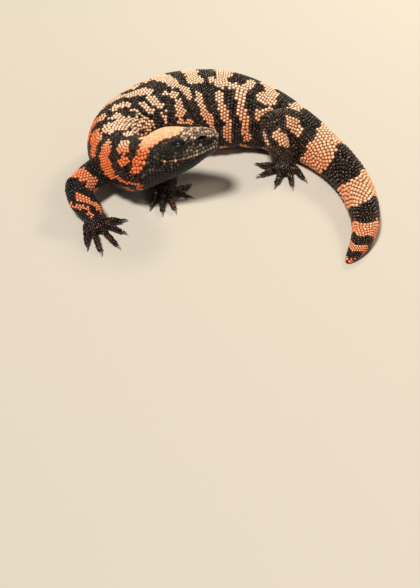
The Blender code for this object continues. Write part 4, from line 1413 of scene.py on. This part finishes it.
def new_material(name):
    made = bpy.data.materials.get(name) or bpy.data.materials.new(name)
    made.use_nodes = True
    made.node_tree.nodes.clear()
    return made


def node(tree, kind, settings=None, **inputs):
    """Adds a node, sets its properties, and gives each named input a value or a link from a socket. An input is
    named by its label with spaces as underscores, or by its number as _0, _1 and so on."""
    made = tree.nodes.new(kind)
    for key, value in (settings or {}).items():
        setattr(made, key, value)
    for key, value in inputs.items():
        socket = made.inputs[int(key[1:])] if key[1:].isdigit() else made.inputs[key.replace("_", " ")]
        if isinstance(value, bpy.types.NodeSocket):
            tree.links.new(value, socket)
        else:
            socket.default_value = value
    return made


def attribute(tree, name):
    return node(tree, "ShaderNodeAttribute", {"attribute_name": name}).outputs["Fac"]


def beaded_hide(name, roughness, depth=0.12, coat=0.55):
    """Horn over bony beads, and the soft hide between them. The eye gets a dull gloss that breaks up on each
    dome, a crest painted lighter than the foot, which is painted highlight on the crest and painted shade at the
    foot and in the hide between, and a slight change of tone from one bead to the next."""
    found = bpy.data.materials.get(name)
    if found:
        return found
    colours = bpy.context.scene.gila_colours
    made = new_material(name)
    tree = made.node_tree
    marking, warmth = attribute(tree, "marking"), attribute(tree, "warmth")
    tone, crest = attribute(tree, "tone"), attribute(tree, "crest")
    place = node(tree, "ShaderNodeTexCoord").outputs["Object"]
    # Mottling about 0.7 mm across, as fine as the pits of a bead's horn.
    mottle = node(tree, "ShaderNodeTexNoise", Vector=place, Scale=1 / (0.7 * MM), Detail=3.0, Roughness=0.6)
    mottle = mottle.outputs["Fac"]
    mix = {"data_type": "RGBA", "clamp_factor": True}
    half = node(tree, "ShaderNodeMapRange", Value=warmth, From_Min=0.0, From_Max=0.5).outputs["Result"]
    rest = node(tree, "ShaderNodeMapRange", Value=warmth, From_Min=0.5, From_Max=1.0).outputs["Result"]
    cream = node(tree, "ShaderNodeMix", mix, _0=half, _6=linear(colours.cream), _7=linear(colours.salmon))
    pale = node(tree, "ShaderNodeMix", mix, _0=rest, _6=cream.outputs[2], _7=linear(colours.orange)).outputs[2]
    shade = node(tree, "ShaderNodeMapRange", Value=tone, To_Min=0.8, To_Max=1.12).outputs["Result"]
    multiply = {"blend_type": "MULTIPLY", "data_type": "RGBA", "clamp_factor": True}
    pale = node(tree, "ShaderNodeMix", multiply, _0=1.0, _6=pale, _7=shade).outputs[2]
    # Pale beads darken to the pale edge towards their foot: painted shade at the foot and in the gaps, partly the
    # hide's own red-brown.
    foot = node(tree, "ShaderNodeMapRange", Value=crest, From_Max=0.76).outputs["Result"]
    pale = node(tree, "ShaderNodeMix", mix, _0=foot, _6=linear(colours.pale_edge), _7=pale).outputs[2]
    # Dark beads lighten to brown towards their crest: painted highlight, partly the horn's own brown from wear.
    top = node(tree, "ShaderNodeMapRange", Value=tone, To_Min=0.45, To_Max=1.0).outputs["Result"]
    top = node(tree, "ShaderNodeMath", {"operation": "MULTIPLY"}, _0=crest, _1=top).outputs[0]
    top = node(tree, "ShaderNodeMath", {"operation": "MULTIPLY_ADD"}, _0=mottle, _1=0.3, _2=top).outputs[0]
    top = node(tree, "ShaderNodeMapRange", Value=top, From_Min=0.6, From_Max=1.22).outputs["Result"]
    dark = node(tree, "ShaderNodeMix", mix, _0=top, _6=linear(colours.dark_edge), _7=linear(colours.dark)).outputs[2]
    colour = node(tree, "ShaderNodeMix", mix, _0=marking, _6=dark, _7=pale).outputs[2]
    fleck = node(tree, "ShaderNodeMapRange", Value=mottle, From_Min=0.3, From_Max=0.7, To_Min=0.86, To_Max=1.08)
    colour = node(tree, "ShaderNodeMix", multiply, _0=1.0, _6=colour, _7=fleck.outputs["Result"]).outputs[2]
    gloss = node(tree, "ShaderNodeMapRange", Value=mottle, To_Min=roughness - 0.07, To_Max=roughness + 0.1)
    bump = node(tree, "ShaderNodeBump", Strength=0.35, Distance=depth * MM, Height=mottle)
    shader = node(
        tree, "ShaderNodeBsdfPrincipled", Base_Color=colour, Roughness=gloss.outputs["Result"],
        Normal=bump.outputs["Normal"], IOR=1.5, Specular_IOR_Level=0.12, Coat_Weight=coat, Coat_Roughness=0.08,
    )
    node(tree, "ShaderNodeOutputMaterial", Surface=shader.outputs["BSDF"])
    return made


def wet_eye():
    """A wet cornea over a dark brown iris: the eye gets one sharp highlight, and the pupil shows only near."""
    made = new_material("wet_cornea_over_dark_iris")
    tree = made.node_tree
    colours = bpy.context.scene.gila_colours
    gaze = attribute(tree, "gaze")
    place = node(tree, "ShaderNodeTexCoord").outputs["Object"]
    streaks = node(tree, "ShaderNodeTexNoise", Vector=place, Scale=1 / (0.4 * MM), Detail=2.0).outputs["Fac"]
    ramp = node(tree, "ShaderNodeMapRange", Value=gaze, From_Min=19.0, From_Max=23.0).outputs["Result"]
    mix = {"data_type": "RGBA", "clamp_factor": True}
    iris = node(tree, "ShaderNodeMix", mix, _0=streaks, _6=linear(colours.iris), _7=linear("#1C110A")).outputs[2]
    inner = node(tree, "ShaderNodeMix", mix, _0=ramp, _6=linear("#020101"), _7=iris).outputs[2]
    edge = node(tree, "ShaderNodeMapRange", Value=gaze, From_Min=40.0, From_Max=47.0).outputs["Result"]
    colour = node(tree, "ShaderNodeMix", mix, _0=edge, _6=inner, _7=linear("#0B0705")).outputs[2]
    shader = node(
        tree, "ShaderNodeBsdfPrincipled", Base_Color=colour, Roughness=0.06, IOR=1.38, Coat_Weight=1.0,
        Coat_Roughness=0.02, Coat_IOR=1.8,
    )
    node(tree, "ShaderNodeOutputMaterial", Surface=shader.outputs["BSDF"])
    return made


def claw_horn():
    """Claw horn, dark at the base and ivory at the tip, polished by wear: a long soft highlight down each claw."""
    made = new_material("polished_claw_horn")
    tree = made.node_tree
    colours = bpy.context.scene.gila_colours
    reach = attribute(tree, "reach")
    place = node(tree, "ShaderNodeTexCoord").outputs["Object"]
    # Growth lines about 0.5 mm apart.
    grain = node(tree, "ShaderNodeTexNoise", Vector=place, Scale=1 / (0.5 * MM), Detail=3.0).outputs["Fac"]
    share = node(tree, "ShaderNodeMath", {"operation": "MULTIPLY_ADD"}, _0=grain, _1=0.22, _2=reach).outputs[0]
    share = node(tree, "ShaderNodeMapRange", Value=share, From_Min=0.6, From_Max=1.15).outputs["Result"]
    mix = {"data_type": "RGBA", "clamp_factor": True}
    colour = node(tree, "ShaderNodeMix", mix, _0=share, _6=linear(colours.horn_base), _7=linear(colours.horn_tip))
    bump = node(tree, "ShaderNodeBump", Strength=0.2, Distance=0.05 * MM, Height=grain)
    shader = node(
        tree, "ShaderNodeBsdfPrincipled", Base_Color=colour.outputs[2], Roughness=0.22, IOR=1.54, Coat_Weight=0.6,
        Normal=bump.outputs["Normal"],
    )
    node(tree, "ShaderNodeOutputMaterial", Surface=shader.outputs["BSDF"])
    return made


def ear_membrane():
    """The eardrum's thin skin: dull, dark and slightly uneven."""
    made = new_material("eardrum_skin")
    tree = made.node_tree
    place = node(tree, "ShaderNodeTexCoord").outputs["Object"]
    grain = node(tree, "ShaderNodeTexNoise", Vector=place, Scale=1 / (0.6 * MM), Detail=2.0).outputs["Fac"]
    mix = {"data_type": "RGBA", "clamp_factor": True}
    colour = node(tree, "ShaderNodeMix", mix, _0=grain, _6=linear("#0C0806"), _7=linear("#1E1510")).outputs[2]
    bump = node(tree, "ShaderNodeBump", Strength=0.3, Distance=0.08 * MM, Height=grain)
    shader = node(
        tree, "ShaderNodeBsdfPrincipled", Base_Color=colour, Roughness=0.6, Specular_IOR_Level=0.25,
        Normal=bump.outputs["Normal"],
    )
    node(tree, "ShaderNodeOutputMaterial", Surface=shader.outputs["BSDF"])
    return made


def matt_floor(code):
    """Matt wall paint on a board, so fine a texture that only an even tone is seen."""
    made = new_material("matt_painted_board")
    tree = made.node_tree
    place = node(tree, "ShaderNodeTexCoord").outputs["Object"]
    grain = node(tree, "ShaderNodeTexNoise", Vector=place, Scale=1 / (3 * MM), Detail=2.0).outputs["Fac"]
    bump = node(tree, "ShaderNodeBump", Strength=0.05, Distance=0.1 * MM, Height=grain)
    shader = node(
        tree, "ShaderNodeBsdfPrincipled", Base_Color=linear(code), Roughness=0.85, Normal=bump.outputs["Normal"]
    )
    node(tree, "ShaderNodeOutputMaterial", Surface=shader.outputs["BSDF"])
    return made


def studio_light(name, place, size, power, colour, kind="AREA"):
    """A soft light at a place, turned to face the animal: a square one of a size, or one that shines evenly from
    far off and is as wide as an angle."""
    target = (0.02, -0.06, 0.03)
    light = bpy.data.lights.new(name, kind)
    light.energy, light.color = power, colour
    if kind == "SUN":
        light.angle = size
    else:
        light.size = size
    lamp = bpy.data.objects.new(name, light)
    bpy.context.scene.collection.objects.link(lamp)
    lamp.location = place
    lamp.rotation_euler = (Vector(target) - Vector(place)).to_track_quat("-Z", "Y").to_euler()


class BuildHide(bpy.types.Operator):
    """Builds the one skin in place of every node of flesh"""

    bl_idname = "gila.build_hide"
    bl_label = "Build Hide"

    def execute(self, context):
        mesh = build_hide(context.scene.gila_hide)
        flesh = [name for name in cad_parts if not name.startswith(("claw_", "eye_", "eardrum_"))]
        new_piece("hide", mesh, beaded_hide("soft_hide_between_beads", 0.5, 0.2, 0.0), flesh)
        print(f"hide: {len(mesh.vertices)} points, {len(mesh.polygons)} faces")
        return {"FINISHED"}


class BuildBeads(bpy.types.Operator):
    """Sets the beads of body, tail and limbs on the hide"""

    bl_idname = "gila.build_beads"
    bl_label = "Build Beads"

    def execute(self, context):
        hide = bpy.data.objects.get("hide")
        if hide is None:
            raise RuntimeError("the beads need the hide, so build that first")
        build_beads(hide.data, context.scene.gila_hide)
        return {"FINISHED"}


class BuildEyes(bpy.types.Operator):
    """Builds both eyeballs and their lids"""

    bl_idname = "gila.build_eyes"
    bl_label = "Build Eyes"

    def execute(self, context):
        material, lids = wet_eye(), beaded_hide("keratin_over_bony_beads", 0.3)
        for side, sign in (("left", 1), ("right", -1)):
            build_eye(side, sign, material, lids)
        return {"FINISHED"}


class BuildEars(bpy.types.Operator):
    """Builds both eardrums"""

    bl_idname = "gila.build_ears"
    bl_label = "Build Ears"

    def execute(self, context):
        material = ear_membrane()
        for side, sign in (("left", 1), ("right", -1)):
            build_ear(side, sign, material)
        return {"FINISHED"}


class BuildClaws(bpy.types.Operator):
    """Builds the claws of all four feet"""

    bl_idname = "gila.build_claws"
    bl_label = "Build Claws"

    def execute(self, context):
        material = claw_horn()
        for name, limb in LIMBS.items():
            build_claws(name, limb, material)
        return {"FINISHED"}


class BuildStage(bpy.types.Operator):
    """Sets the floor, the lights and the camera"""

    bl_idname = "gila.build_stage"
    bl_label = "Build Stage"

    def execute(self, context):
        settings = context.scene.gila_stage
        half = settings.floor_size / 2 / MM
        corners = np.array([(-half, -half, 0), (half, -half, 0), (half, half, 0), (-half, half, 0)], float)
        mesh = new_mesh("floor", corners, [np.array([[0, 1, 2, 3]])])
        mesh.materials.append(matt_floor(settings.floor_colour))
        floor = bpy.data.objects.new("floor", mesh)
        context.scene.collection.objects.link(floor)
        warm = (1, 0.95, 0.88)
        studio_light("key", (-0.28, -0.5, 1.25), settings.key_angle, settings.key_strength, warm, "SUN")
        studio_light("fill", (0.8, -1.0, 0.7), 0.6, settings.fill_power, warm)
        studio_light("rim", (0.7, 0.8, 0.9), 0.3, settings.rim_power, (1, 0.86, 0.66))
        world = bpy.data.worlds.new("studio")
        world.use_nodes = True
        shade = world.node_tree.nodes["Background"]
        shade.inputs["Color"].default_value = (0.95, 0.9, 0.84, 1)
        shade.inputs["Strength"].default_value = settings.sky
        context.scene.world = world
        camera = bpy.data.objects.new("camera", bpy.data.cameras.new("camera"))
        context.scene.collection.objects.link(camera)
        camera.location = settings.camera_place
        camera.rotation_euler = (math.pi / 2 - settings.camera_pitch, 0, 0)
        camera.data.lens = settings.lens
        camera.data.clip_start = 0.01
        context.scene.camera = camera
        context.scene.view_settings.view_transform = "Standard"
        return {"FINISHED"}


class GilaPanel(bpy.types.Panel):
    """Lists the settings and the steps in the sidebar"""

    bl_idname = "VIEW3D_PT_gila_monster"
    bl_label = "Gila Monster"
    bl_space_type = "VIEW_3D"
    bl_region_type = "UI"
    bl_category = "Gila Monster"

    def draw(self, context):
        for group in (context.scene.gila_hide, context.scene.gila_colours, context.scene.gila_stage):
            box = self.layout.box()
            for name in group.__annotations__:
                box.prop(group, name)
        for step in STEPS:
            self.layout.operator(step.bl_idname)


STEPS = (BuildHide, BuildBeads, BuildEyes, BuildEars, BuildClaws, BuildStage)
GROUPS = {"gila_hide": HideSettings, "gila_colours": ColourSettings, "gila_stage": StageSettings}


def register():
    for kind in (*GROUPS.values(), *STEPS, GilaPanel):
        bpy.utils.register_class(kind)
    for name, kind in GROUPS.items():
        setattr(bpy.types.Scene, name, PointerProperty(type=kind))


def unregister():
    for name in GROUPS:
        delattr(bpy.types.Scene, name)
    for kind in (GilaPanel, *reversed(STEPS), *GROUPS.values()):
        bpy.utils.unregister_class(kind)


def main():
    register()
    bpy.ops.gila.build_stage()
    bpy.ops.gila.build_hide()
    bpy.ops.gila.build_beads()
    bpy.ops.gila.build_eyes()
    bpy.ops.gila.build_ears()
    bpy.ops.gila.build_claws()


if __name__ == "__main__":
    main()
